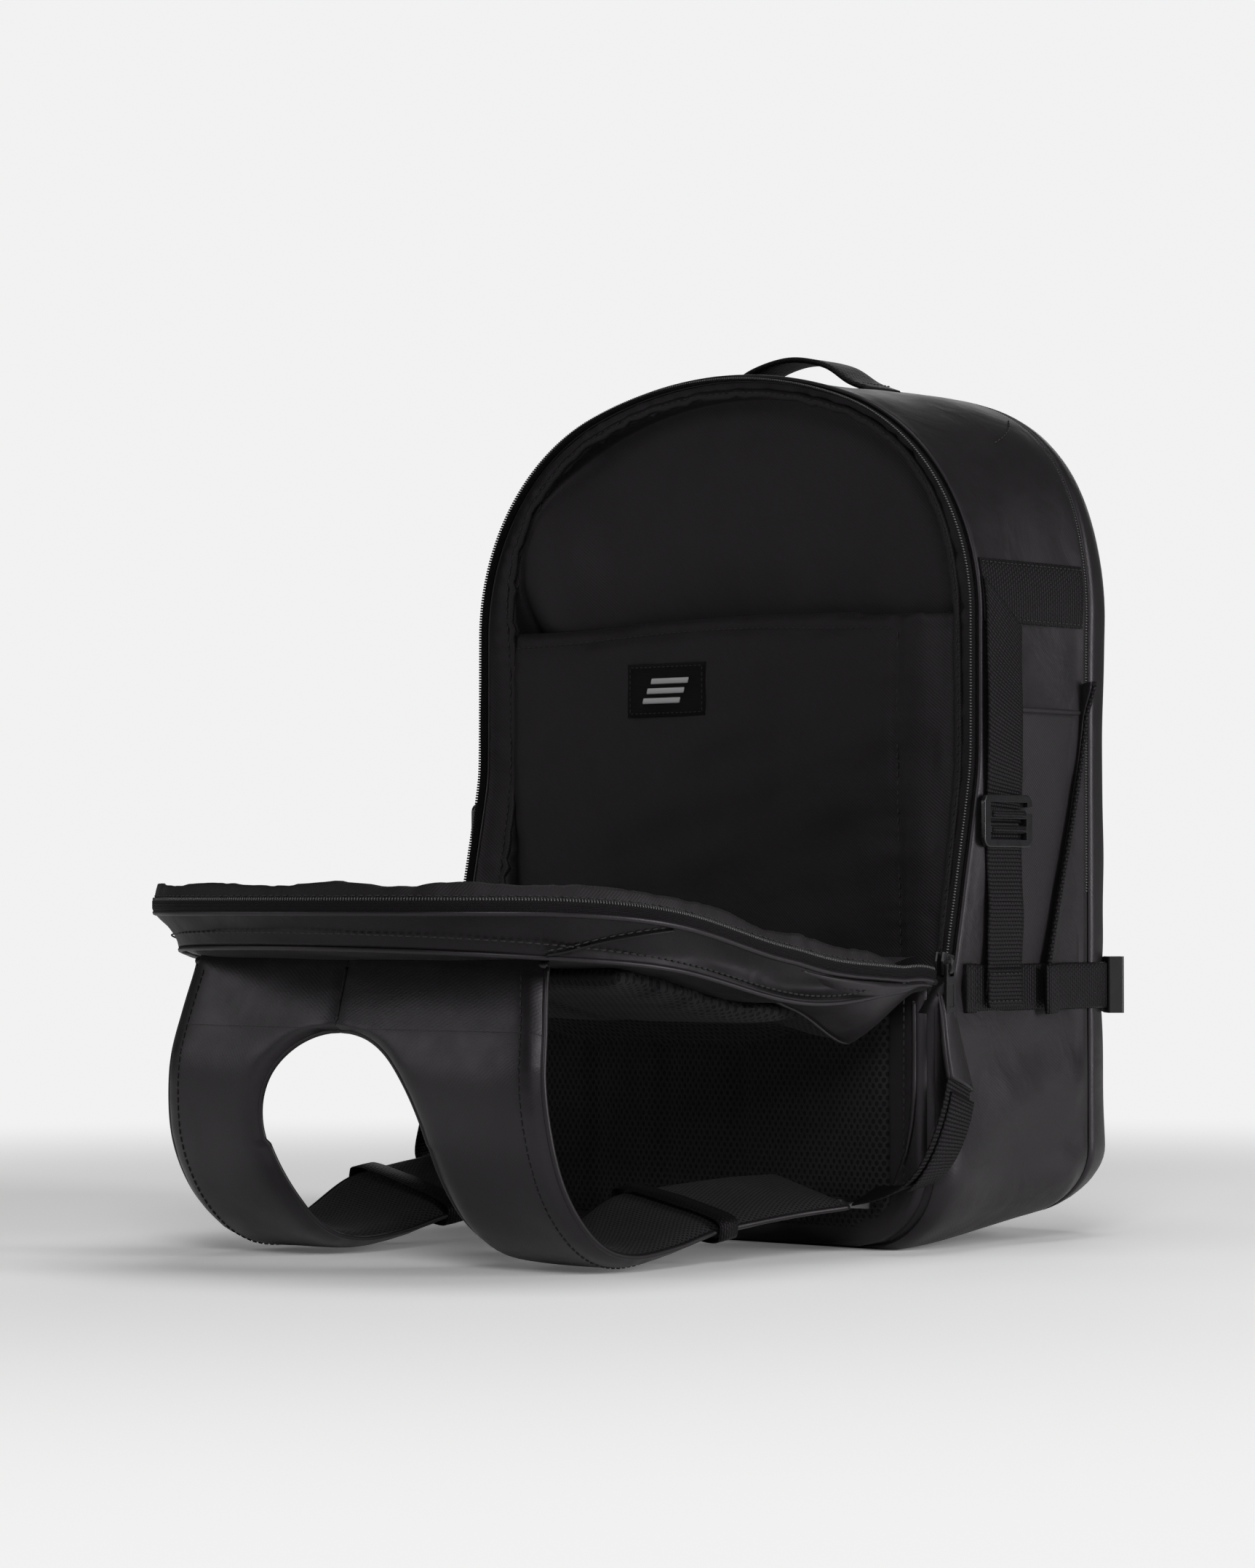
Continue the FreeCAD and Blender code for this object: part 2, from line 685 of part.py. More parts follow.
def make_side_pocket(label):
    """Flat side pocket, open at the top, with its outer edge on a slant."""
    body = new_body(label)
    near = dim["hang_y"] + dim["hang_wide"] + 2
    foot = dim["strap_low"] + dim["strap_wide"] + 2
    top = dim["pouch_top"]
    sketch = new_sketch(body, "Outline", "YZ", SIDE + 0.1)
    polygon(sketch, [(near, foot), (0, foot), (SEAM - 6, top), (near, top)])
    pad(body, sketch, 3.6)
    sketch = new_sketch(body, "Inside", "YZ", SIDE)
    polygon(sketch, [(near + 2, foot + 2), (-3, foot + 2), (SEAM - 8.5, top + 1), (near + 2, top + 1)])
    cut_deep(body, sketch, 2, reverse=True)
    return keep(label, body)


def make_anchor(label):
    """Triangular tab that takes the lower end of a shoulder strap."""
    body = new_body(label)
    sketch = new_sketch(body, "Outline", "YZ", SIDE + 0.1)
    fold = dim["fold_y"]
    polygon(sketch, [(fold + 2, 118), (fold + 4, 92), (-80, 80), (-66, 80), (-68, 96)])
    pad(body, sketch, 3)
    round_edges(body, 2, runs_along(ALONG_X))
    return keep(label, body)


def make_anchor_webbing(label):
    """From the tab down to the floor and round under the bag's corner."""
    wide, thick = 22, 1.6
    down = (0, 0.45, -0.9)
    path = [((180.5, -75, 90), (0, 0.91, -0.41), (1, 0, 0)),
            ((180.5, -92, 56), (0, 0.87, -0.5), (1, 0, 0)),
            ((177, -104, 42), (0.5, 0.4, -0.77), (0.85, -0.4, 0.3)),
            ((164, -106, 35), (0.85, -0.1, -0.45), down),
            ((152, -106, 31), (0.9, -0.1, -0.3), down)]
    return ribbon(label, [(centre, across, through, wide, thick) for centre, across, through in path])


def make_grab_handle():
    handle = new_body("grab_handle")
    sketch = new_sketch(handle, "Loop", "XZ", 37)
    half, rise = dim["handle_half"], dim["handle_rise"]
    top = dim["bag_height"] + rise
    knuckle = dim["bag_height"] + rise * 0.8
    foot = dim["bag_height"] - 4.7
    web = Size(3)
    outside = [(-half, foot), (half * -0.55, knuckle), (half * -0.2, top),
               (half * 0.2, top), (half * 0.55, knuckle), (half, foot)]
    inside = [(half - 6, foot + 0.6), (half * 0.5, knuckle - web), (half * 0.18, top - web),
              (half * -0.18, top - web), (half * -0.5, knuckle - web), (Size(6) - half, foot + 0.6)]
    polygon(sketch, outside + inside)
    pad(handle, sketch, dim["handle_wide"])
    keep("grab_handle", handle)


# ---------------------------------------------------------------- hardware, drawn flat at the origin

BAIL_AXIS = 1.4  # the pull's bar above the slider's top plate


def add_bail(body, foot):
    """The loop on a slider's top plate that holds the pull tab."""
    sketch = new_sketch(body, "Bail", "XZ", 1.2)
    outline = [(-4.6, 0), (-4.6, 2.4), (-3.4, 3.9), (2.6, 3.9), (4.2, 2.3), (4.2, 0), (2.8, 0),
               (2.8, 1.8), (2, 2.7), (-2.6, 2.7), (-3.2, 2), (-3.2, 0)]
    polygon(sketch, [(x, foot + z) for x, z in outline])
    pad(body, sketch, 2.4)


def make_slider(label, placement):
    """Zip slider: two plates joined by a neck, with a bail on top. X runs along the chain, Z is outward."""
    body = new_body(label)
    sketch = new_sketch(body, "TopPlate", "XY", 1.3)
    polygon(sketch, [(-6, -3.2), (1, -4.6), (6, -4.6), (6, 4.6), (1, 4.6), (-6, 3.2)])
    pad(body, sketch, 1.3)
    sketch = new_sketch(body, "Neck", "XY", -1.5)
    rectangle(sketch, 2.5, 5.5, -0.55, 0.55)
    pad(body, sketch, 3)
    sketch = new_sketch(body, "BottomPlate", "XY", -2.7)
    polygon(sketch, [(-6, -3.2), (1, -4.6), (6, -4.6), (6, 4.6), (1, 4.6), (-6, 3.2)])
    pad(body, sketch, 1.2)
    add_bail(body, 2.5)
    return keep(label, body, placement)


PULL_GRIP = 27.0


def make_pull(label, placement):
    """Pull tab: its bar lies in the bail at the origin and the tab runs down -X."""
    body = new_body(label)
    sketch = new_sketch(body, "Tab", "XY", -0.8)
    polygon(sketch, [(0.7, -3.8), (0.7, 3.8), (-PULL_GRIP, 4.2), (-PULL_GRIP - 2, 2.6),
                     (-PULL_GRIP - 2, -2.6), (-PULL_GRIP, -4.2)])
    pad(body, sketch, 1.6)
    sketch = new_sketch(body, "Windows", "XY")
    rectangle(sketch, -6, -0.7, -2.5, 2.5)
    rectangle(sketch, -PULL_GRIP, 2.5 - PULL_GRIP, -2.2, 2.2)
    cut_through(body, sketch)
    sketch = new_sketch(body, "Dish", "XY", 0.8)
    rectangle(sketch, 5 - PULL_GRIP, -10, -2.6, 2.6)
    cut_deep(body, sketch, 0.35)
    round_edges(body, 0.5, lambda e: runs_along(ALONG_Z)(e) and abs(e.CenterOfMass.y) > 2.4)
    return keep(label, body, placement)


def make_hook_buckle(label):
    """Flat hook buckle for the side strap. Drawn in the YZ plane: one slot is open at its far side."""
    body = new_body(label)
    sketch = new_sketch(body, "Plate", "YZ", -1.4)
    rectangle(sketch, -22, 22, -14, 14)
    pad(body, sketch, 2.8)
    round_edges(body, 5, runs_along(ALONG_X))
    sketch = new_sketch(body, "Slots", "YZ")
    rectangle(sketch, -16.5, 16.5, -10, -6)
    rectangle(sketch, -16.5, 16.5, -2.8, 1.2)
    polygon(sketch, [(-16.5, 6), (14, 6), (14, 4), (25, 4), (25, 7.5), (17.5, 7.5), (17.5, 10), (-16.5, 10)])
    cut_through(body, sketch)
    round_edges(body, 0.6, lambda e: runs_along(ALONG_Y)(e) and abs(abs(e.CenterOfMass.z) - 14) < 0.01)
    centre_y = (dim["hang_y"] + dim["hang_wide"] / 2).value
    place = Vector((dim["half_width"] + 6).value, centre_y, 227)
    return keep(label, body, Placement(place, Rotation()))


def make_adjuster(label):
    """Ladder lock at the end of a shoulder strap, with three slots and a lip. Y runs along the strap."""
    body = new_body(label)
    sketch = new_sketch(body, "Side", "YZ", -16)
    polygon(sketch, [(-12, -2), (12, -2), (12, 1.6), (9.5, 3.2), (6, 3.2), (3, 1.4), (-6, 1.4), (-9, 2.6),
                     (-12, 2.6)])
    pad(body, sketch, 32)
    sketch = new_sketch(body, "Slots", "XY")
    rectangle(sketch, -13, 13, 3.4, 6.6)
    rectangle(sketch, -13, 13, -1.8, 1.0)
    rectangle(sketch, -13, 13, -9, -5.8)
    cut_through(body, sketch)
    round_edges(body, 2.5, lambda e: runs_along(ALONG_Z)(e) and abs(abs(e.CenterOfMass.x) - 16) < 0.01)
    tilt = Rotation(Vector(0, 0, 1), -11.3).multiply(Rotation(Vector(1, 0, 0), -4))
    return keep(label, body, Placement(Vector(122, -111, 25.5), tilt))


def make_buckle(socket_label, plug_label):
    """Side-release buckle on the rounded corner. X runs along the strap and Z across it."""
    middle_z = (dim["strap_low"] + dim["strap_wide"] / 2).value
    radius = dim["edge_radius"].value
    corner = Vector(dim["half_width"].value - radius, dim["outer_y"].value - radius, middle_z)
    outward = Vector(1, 1, 0).normalize()
    along = Vector(1, -1, 0).normalize()
    place = Placement(corner + outward * (radius + 6.9) + along * 14, Rotation(Vector(0, 0, 1), -45))

    socket = new_body(socket_label)
    sketch = new_sketch(socket, "Front", "XZ", 4.5)
    polygon(sketch, [(-28, -14), (-6, -15.5), (6, -15.5), (6, 15.5), (-6, 15.5), (-28, 14)])
    pad(socket, sketch, 9)
    sketch = new_sketch(socket, "Mouth", "YZ", -28)
    rectangle(sketch, -2.6, 2.6, -11.6, 11.6)
    cut_deep(socket, sketch, 22, reverse=True)
    sketch = new_sketch(socket, "SideWindows", "XY")
    rectangle(sketch, -22, -10, -2.6, 2.6)
    cut_through(socket, sketch)
    sketch = new_sketch(socket, "WebSlot", "XZ")
    rectangle(sketch, -2.6, 2.4, -12.6, 12.6)
    cut_through(socket, sketch)

    def closed_end(edge):
        middle = edge.CenterOfMass
        return runs_along(ALONG_Z)(edge) and abs(abs(middle.y) - 4.5) < 0.01 and middle.x > 5

    round_edges(socket, 1.5, closed_end)
    keep(socket_label, socket, place)

    plug = new_body(plug_label)
    sketch = new_sketch(plug, "Bar", "XZ", 4)
    rectangle(sketch, -40, -28.6, -14, 14)
    pad(plug, sketch, 8)
    sketch = new_sketch(plug, "WebSlot", "XZ")
    rectangle(sketch, -37.4, -33, -12.6, 12.6)
    cut_through(plug, sketch)
    sketch = new_sketch(plug, "Prongs", "XZ", 1.9)
    rectangle(sketch, -29, -9, -1.6, 1.6)
    polygon(sketch, [(-29, 5.5), (-11, 7), (-9, 8.6), (-10, 10.8), (-20, 10.8), (-29, 9)])
    polygon(sketch, [(-29, -5.5), (-11, -7), (-9, -8.6), (-10, -10.8), (-20, -10.8), (-29, -9)])
    pad(plug, sketch, 3.8)
    keep(plug_label, plug, place)
    return socket, plug


def make_hardware():
    slant = math.degrees(math.atan2(RUN.value, RISE.value))
    depth = 0.5 + dim["zip_thick"].value / 2  # of the chain's middle below the side wall's face
    side_x = dim["half_width"].value - depth
    mid_rim_y = dim["foot_y"].value - (ZIP_LINE * SLOPE / RISE).value
    start_z = dim["fold_z"].value + 9
    start_y = mid_rim_y + 9 * RUN.value / RISE.value
    # local X up the chain, local Z out of the bag's right side
    upright = Rotation(Vector(0, 0, 1), Vector(0, 1, 0), Vector(1, 0, 0), "ZXY")
    along = Rotation(Vector(1, 0, 0), -slant).multiply(upright)
    bail = 2.5 + BAIL_AXIS

    def rim_slider(label):
        return make_slider(label, Placement(Vector(side_x, start_y, start_z), along))

    def rim_pull(label):
        hanging = Rotation(Vector(0, 0, 1), Vector(0, 1, 0), Vector(1, 0, 0), "ZXY")
        return make_pull(label, Placement(Vector(side_x + bail, start_y, start_z), hanging))

    both_sides("rim_slider", rim_slider)
    both_sides("rim_pull", rim_pull)

    both_sides("hook_buckle", make_hook_buckle)
    both_sides("strap_adjuster", make_adjuster)
    socket, plug = make_buckle("buckle_socket_right", "buckle_plug_right")
    mirrored("buckle_socket_left", socket)
    mirrored("buckle_plug_left", plug)


def make_main_sliders():
    """The outer panel's two sliders, meeting on the left side of its zip."""
    side_x = dim["half_width"].value + 1.0
    seam = SEAM.value
    for name, z, up in (("upper", 262, 1), ("lower", 222, -1)):
        facing = Rotation(Vector(0, 0, up), Vector(0, up, 0), Vector(-1, 0, 0), "ZXY")
        slider = new_body(f"main_slider_{name}")
        sketch = new_sketch(slider, "TopPlate", "XY", 1.1)
        polygon(sketch, [(-6, -4.6), (1, -4.6), (6, -3.2), (6, 3.2), (1, 4.6), (-6, 4.6)])
        pad(slider, sketch, 1.3)
        add_bail(slider, 2.3)
        keep(f"main_slider_{name}", slider, Placement(Vector(-side_x, seam, z), facing))
        down = Rotation(Vector(0, 0, 1), Vector(0, -1, 0), Vector(-1, 0, 0), "ZXY")
        make_pull(f"main_pull_{name}", Placement(Vector(-side_x - 2.3 - BAIL_AXIS, seam, z), down))


def check_and_export():
    doc.recompute()
    for thing in doc.Objects:
        if "Invalid" in thing.State or "Error" in thing.State:
            raise RuntimeError(f"{thing.Label} failed: {thing.State}")
    os.makedirs("parts", exist_ok=True)
    for label, thing in PARTS.items():
        shape = thing.Shape
        if shape.isNull() or not shape.isValid() or not shape.Solids:
            raise RuntimeError(f"{label} has no valid solid")
        shape.exportStep(f"parts/{label}.step")
        print(f"{label}: {len(shape.Solids)} solid, {shape.Volume / 1000:.2f} cm3")


make_side_gusset()
make_base()
make_outer_panel()
make_toe()
make_divider()
make_racket_pocket()
make_rim_binding()
make_zips()
make_flap()
make_harness()
both_sides("side_band", make_band)
both_sides("compression_strap", make_compression)
both_sides("front_strap", make_front_strap)
both_sides("side_strap_upper", make_hanging_upper)
both_sides("side_strap_lower", make_hanging_lower)
both_sides("side_pocket", make_side_pocket)
both_sides("strap_anchor", make_anchor)
both_sides("anchor_webbing", make_anchor_webbing)
make_grab_handle()
make_hardware()
make_main_sliders()
check_and_export()
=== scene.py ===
"""Looks of the racket backpack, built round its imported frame.

Sizes are in millimetres unless a name says otherwise. Most pieces are sheets: rows x columns of points.
"""
import json
import math

import bpy
import numpy as np
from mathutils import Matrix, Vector


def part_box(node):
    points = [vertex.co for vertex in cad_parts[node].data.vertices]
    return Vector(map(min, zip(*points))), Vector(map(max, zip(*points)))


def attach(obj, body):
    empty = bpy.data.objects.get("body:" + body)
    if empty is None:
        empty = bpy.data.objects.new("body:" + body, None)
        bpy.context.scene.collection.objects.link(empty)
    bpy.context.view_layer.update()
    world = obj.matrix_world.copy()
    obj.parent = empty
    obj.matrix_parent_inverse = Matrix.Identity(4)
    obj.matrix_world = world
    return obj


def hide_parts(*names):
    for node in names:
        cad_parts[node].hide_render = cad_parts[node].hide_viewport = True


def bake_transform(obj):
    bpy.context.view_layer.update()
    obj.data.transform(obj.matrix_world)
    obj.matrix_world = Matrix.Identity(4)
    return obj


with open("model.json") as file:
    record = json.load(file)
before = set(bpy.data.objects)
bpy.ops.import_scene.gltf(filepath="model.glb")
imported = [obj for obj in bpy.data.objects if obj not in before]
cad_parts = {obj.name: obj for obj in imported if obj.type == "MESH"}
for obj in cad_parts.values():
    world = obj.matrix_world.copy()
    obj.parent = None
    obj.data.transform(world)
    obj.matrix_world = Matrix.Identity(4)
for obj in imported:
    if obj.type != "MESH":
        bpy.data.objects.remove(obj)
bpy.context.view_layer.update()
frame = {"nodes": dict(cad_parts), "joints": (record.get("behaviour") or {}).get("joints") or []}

MM = 0.001


def low(node):
    return np.array(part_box(node)[0]) / MM


def high(node):
    return np.array(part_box(node)[1]) / MM


HINGE = next(joint for joint in frame["joints"] if joint["name"] == "flap_hinge")
FOLD_Y, FOLD_Z = (value / MM for value in HINGE["pos_m"][1:])
HALF, SEAM_Y, CROWN = high("side_gusset")
OUTER_Y = high("outer_panel")[1]
SHOULDER_RADIUS = 130.0
SHOULDER_X, SHOULDER_Z = HALF - SHOULDER_RADIUS, 337  # where the shoulder's curve is centred
CROWN_RADIUS = 260.0
BASE_RADIUS = 45.0
BASE_RISE = 15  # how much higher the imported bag's base is at the rear
SHOULDER_PUSH = 11  # how far its shoulders stand out
WAIST_Z = 138  # the compression straps
RIM_Y = -55.0  # the racket compartment's rim, above its bend
BEND_Z = 255.0
FOOT_Y = -80.0  # the rim at the fold's height
TOE_Y = low("toe_panel")[1]
TAPE = 5.4  # half a zip's width
FLAP_EDGE = 2 * TAPE + 2.4  # from the rim to the shut flap's edge
FLOOR_GAP = 2.2  # the skins are 2 mm thick and stay above the floor
CHANNEL_X = 50  # the mesh pads' channels, beside the one in the middle
SIDES = (("right", 1), ("left", -1))
SKIN = "coated_leather"
TINY = 1e-6


# ---------------------------------------------------------------- number helpers

def smooth(low_end, high_end, value):
    t = np.clip((np.asarray(value, float) - low_end) / (high_end - low_end), 0, 1)
    return t * t * (3 - 2 * t)


def hill(value, centre, width):
    """1 at the centre, falling off on both sides."""
    return np.exp(-(((value - centre) / width) ** 2))


def plump(edge, reach):
    """A padded edge's profile: 0 at the seam, nearly 1 beyond the reach."""
    return 1 - np.exp(-np.maximum(edge, 0) / reach)


def ripples(points, size, seed):
    """Smooth seeded noise of about -1 to 1, with features of the given size, at an array of points."""
    rng = np.random.default_rng(seed)
    points = np.asarray(points, float)
    total = np.zeros(points.shape[:-1])
    for _ in range(10):
        direction = rng.normal(size=points.shape[-1])
        direction /= np.linalg.norm(direction)
        wave = size * rng.uniform(0.8, 1.8)
        total += np.sin(points @ direction * (2 * math.pi / wave) + rng.uniform(0, 2 * math.pi))
    return total / 3.4


def pleats(along, size, seed):
    """Puckers along a seam: sharp little ridges of uneven height and spacing."""
    along = np.asarray(along, float)[..., None]
    phase = along[..., 0] * (2 * math.pi / size) + 2.2 * ripples(along, size * 5, seed)
    height = 0.55 + 0.45 * ripples(along, size * 3.2, seed + 1)
    return (1 - 2 * np.abs(np.sin(phase / 2)) ** 0.8) * height


def averaged(values, width):
    """Running mean over an odd number of values."""
    padded = np.concatenate([[values[0]] * (width // 2), values, [values[-1]] * (width // 2)])
    return np.convolve(padded, np.ones(width) / width, "valid")


def distances(path):
    """Length along a path at each of its points."""
    steps = np.linalg.norm(np.diff(path, axis=0), axis=1)
    return np.concatenate([[0], np.cumsum(steps)])


def resampled(path, count):
    """The path with evenly spaced points."""
    path = np.asarray(path, float)
    s = distances(path)
    at = np.linspace(0, s[-1], count)
    return np.stack([np.interp(at, s, path[:, k]) for k in range(path.shape[1])], axis=1)


def polyline(corners, count):
    """Straight lines from corner to corner, each with count points."""
    return np.vstack([resampled([a, b], count) for a, b in zip(corners, corners[1:])])


def spline(knots, count):
    """A smooth path through the knots, evenly spaced."""
    knots = np.asarray(knots, float)
    ends = [2 * knots[0] - knots[1], *knots, 2 * knots[-1] - knots[-2]]
    points = []
    for a, b, c, d in zip(ends, ends[1:], ends[2:], ends[3:]):
        for t in np.linspace(0, 1, 16, endpoint=False):
            points.append(0.5 * (2 * b + (c - a) * t + (2 * a - 5 * b + 4 * c - d) * t**2
                                 + (3 * b - a - 3 * c + d) * t**3))
    points.append(knots[-1])
    return resampled(points, count)


def unit(vectors):
    return vectors / np.maximum(np.linalg.norm(vectors, axis=-1, keepdims=True), 1e-9)


def tangents(path):
    return unit(np.gradient(path, axis=0))


def xyz(x, y, z):
    """Points from their coordinates, of which any may be a single number."""
    return np.stack(np.broadcast_arrays(x, y, z), axis=-1).astype(float)


# ---------------------------------------------------------------- the bag's outline

def arch(inset, foot, step=5.0, rungs=None):
    """(x, z) points from the right foot over the crown to the left foot, equally many at any inset."""
    centre = CROWN - CROWN_RADIUS
    rise = math.sqrt((CROWN_RADIUS - SHOULDER_RADIUS) ** 2 - SHOULDER_X**2)
    spring = centre + rise
    turn = math.atan2(rise, SHOULDER_X)
    side = np.linspace(foot, spring, rungs or max(3, int((spring - foot) / step)))[:-1]
    bow = np.linspace(0, turn, int(SHOULDER_RADIUS * turn / step))[:-1]
    top = np.linspace(turn, math.pi / 2, int(CROWN_RADIUS * (math.pi / 2 - turn) / step))
    shoulder, crown = SHOULDER_RADIUS - inset, CROWN_RADIUS - inset
    right = np.vstack([
        np.stack([np.full(side.shape, HALF - inset), side], axis=1),
        np.stack([SHOULDER_X + shoulder * np.cos(bow), spring + shoulder * np.sin(bow)], axis=1),
        np.stack([crown * np.cos(top), centre + crown * np.sin(top)], axis=1),
    ])
    left = right[-2::-1] * (-1, 1)
    return np.vstack([right, left])


def ring(inset, step=5.0):
    """Closed loop round the whole bag from the middle of its base, seen from the flap side."""
    radius = max(BASE_RADIUS - inset, 6)
    cx, cz = HALF - inset - radius, inset + radius
    base = np.linspace(0, cx, int((HALF - BASE_RADIUS) / step))[:-1]
    bend = np.linspace(-math.pi / 2, 0, 14)[:-1]
    right = np.vstack([
        np.stack([base, np.full(base.shape, float(inset))], axis=1),
        np.stack([cx + radius * np.cos(bend), cz + radius * np.sin(bend)], axis=1),
    ])
    left = right[:0:-1] * (-1, 1)
    return np.vstack([right, arch(inset, cz, step, rungs=int(290 / step)), left])


def outward(loop, closed=True):
    """Unit normals that point out of a loop of (x, z) points."""
    if closed:
        along = np.roll(loop, -1, axis=0) - np.roll(loop, 1, axis=0)
    else:
        along = np.gradient(loop, axis=0)
    return unit(np.stack([along[:, 1], -along[:, 0]], axis=1))


def rim_y(z):
    """Y of the rim: upright above the bend, then running forward to the fold."""
    below = BEND_Z - np.asarray(z, float)
    eased = (below + np.sqrt(below**2 + 90)) / 2
    return RIM_Y - eased * (RIM_Y - FOOT_Y) / (BEND_Z - FOLD_Z)


def flap_face_y(z):
    """Y of the shut flap's outer face."""
    return FOLD_Y + 12 * (np.asarray(z, float) - FOLD_Z) / 246


def opened(points):
    """Turns points drawn on the shut flap to where they are with the flap folded down.

    Its middle sags, its far left corner slumps, and the lining's edge lifts and draws in at the crown.
    """
    x, y, z = np.moveaxis(np.asarray(points, float), -1, 0)
    out = z - FOLD_Z
    sag = 14 * hill(out, 102, 74) * smooth(0, 30, out)
    slump = smooth(50, 150, -x) * smooth(130, 290, out)
    lift = smooth(110, 290, out) * (2 + 9 * smooth(-82, -68, y))
    taper = 0.065 * smooth(-66, -80, y) * smooth(60, 250, out)
    x = x * (1 - taper)
    out = out - (out - 118) * taper
    return xyz(x + 15 * slump, FOLD_Y - out + 13 * slump, FOLD_Z + (y - FOLD_Y) - sag + lift)


def fullness(x, y, z):
    """How far the stuffed shoulders stand out, as (x, z) shifts."""
    across = np.abs(x) - SHOULDER_X
    rise = np.asarray(z, float) - SHOULDER_Z
    turn = np.degrees(np.arctan2(rise, across))
    push = SHOULDER_PUSH * hill(turn, 45, 26) * smooth(-52, 40, y) * (rise > -80)
    reach = np.maximum(np.hypot(across, rise), 1) / SHOULDER_RADIUS
    push = push * smooth(0.35, 1.0, reach)
    angle = np.radians(turn)
    return push * np.cos(angle) * np.sign(x), push * np.sin(angle)


def stuffed(points):
    """The drawn tub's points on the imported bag: full at the shoulders, its base rising to the rear."""
    points = np.array(points, float)
    dx, dz = fullness(points[..., 0], points[..., 1], points[..., 2])
    rise = BASE_RISE * smooth(-88, 75, points[..., 1]) * smooth(75, 0, points[..., 2])
    points[..., 0] += dx
    points[..., 2] += dz + rise
    return points


def at_y(loop, y):
    """3-D points from (x, z) points and their Y."""
    return xyz(loop[:, 0], y, loop[:, 1])


# ---------------------------------------------------------------- mesh builders

def new_object(name, vertices, faces, paint, uv=None):
    mesh = bpy.data.meshes.new(name)
    mesh.from_pydata((np.asarray(vertices) * MM).tolist(), [], faces)
    mesh.polygons.foreach_set("use_smooth", [True] * len(mesh.polygons))
    if uv is not None:
        layer = mesh.uv_layers.new(name="uv")
        layer.data.foreach_set("uv", (np.asarray(uv) * MM).ravel())
    mesh.materials.append(paint)
    obj = bpy.data.objects.new(name, mesh)
    bpy.context.scene.collection.objects.link(obj)
    return obj


def sheet(name, grid, paint, closed=False, caps=False, fan=False, flip=False, thick=0.0, flat=None):
    """A quad sheet through rows x columns of points. Its UVs are lengths along the columns and the rows,
    or two of the point's own coordinates when flat names them."""
    grid = np.asarray(grid, float)
    rows, cols = grid.shape[:2]
    vertices = grid.reshape(-1, 3)
    i, j = np.meshgrid(np.arange(rows - 1), np.arange(cols if closed else cols - 1), indexing="ij")
    i, j = i.ravel(), j.ravel()
    here, below, following = i * cols, (i + 1) * cols, (j + 1) % cols
    quads = np.stack([here + j, here + following, below + following, below + j], axis=1)
    wide = grid[rows // 2]
    if closed:
        wide = np.vstack([wide, wide[:1]])
    u, v = distances(wide), distances(grid[:, cols // 3])
    corners = ((j, i), (j + 1, i), (j + 1, i + 1), (j, i + 1))
    uv = np.stack([np.stack([u[a], v[b]], axis=1) for a, b in corners], axis=1)
    if flip:
        quads, uv = quads[:, ::-1], uv[:, ::-1]
    faces = quads.tolist()
    uv = uv.reshape(-1, 2)
    if caps:
        for row, order in ((0, 1), (rows - 1, -1)):
            cap = list(range(row * cols, (row + 1) * cols))[::-order]
            faces.append(cap if not flip else cap[::-1])
            uv = np.vstack([uv, vertices[cap][:, [0, 2]]])
    if fan:
        vertices = np.vstack([vertices, grid[-1].mean(axis=0)])
        around = np.arange((rows - 1) * cols, rows * cols)
        wedges = [(a, b, rows * cols) for a, b in zip(around, np.roll(around, -1))]
        faces += [wedge[::-1] if flip else wedge for wedge in wedges]
        uv = np.vstack([uv, vertices[np.array(wedges).ravel()][:, [0, 2]]])
    if flat is not None:
        used = [vertex for face in faces for vertex in face]
        uv = vertices[used][:, list(flat)]
    obj = new_object(name, vertices, faces, paint, uv)
    if thick:
        solid = obj.modifiers.new("Thickness", "SOLIDIFY")
        solid.thickness = thick * MM
        solid.offset = -1
    return obj


def band_section(wide, thick):
    """Closed (across, through) section of a flat band with soft edges."""
    half, t = wide / 2, thick / 2
    edge = min(thick * 0.7, half * 0.3)
    across = [-half + edge, -half / 2, 0, half / 2, half - edge]
    upper = [(x, t) for x in across]
    lower = [(x, -t) for x in reversed(across)]
    return np.array([(-half, 0)] + upper + [(half, 0)] + lower)


def band(name, path, across, wide, thick, paint, flip=False):
    """A flat strap along a path. across is its width's direction, and wide may change along the path."""
    path = np.asarray(path, float)
    count = len(path)
    across = unit(np.broadcast_to(np.asarray(across, float), path.shape))
    through = unit(np.cross(tangents(path), across))
    wide = np.broadcast_to(np.asarray(wide, float), (count,))
    grid = np.zeros((count, 12, 3))
    for k in range(count):
        section = band_section(wide[k], thick)
        grid[k] = path[k] + section[:, :1] * across[k] + section[:, 1:] * through[k]
    return sheet(name, grid, paint, closed=True, caps=True, flip=not flip)


def tube(name, path, radius, paint, closed=False, squash=(1, 1), up=(0, 1, 0.013)):
    """A round cord along a path."""
    path = np.asarray(path, float)
    radius = np.broadcast_to(np.asarray(radius, float), (len(path),))
    if closed:
        path = np.vstack([path, path[:1]])
        radius = np.append(radius, radius[0])
    along = tangents(path)
    right = unit(np.cross(along, np.asarray(up, float)))
    over = np.cross(right, along)
    turns = np.linspace(0, 2 * math.pi, 8, endpoint=False)[None, :, None]
    section = squash[0] * np.cos(turns) * right[:, None] + squash[1] * np.sin(turns) * over[:, None]
    grid = path[:, None] + radius[:, None, None] * section
    return sheet(name, grid, paint, closed=True, caps=not closed)


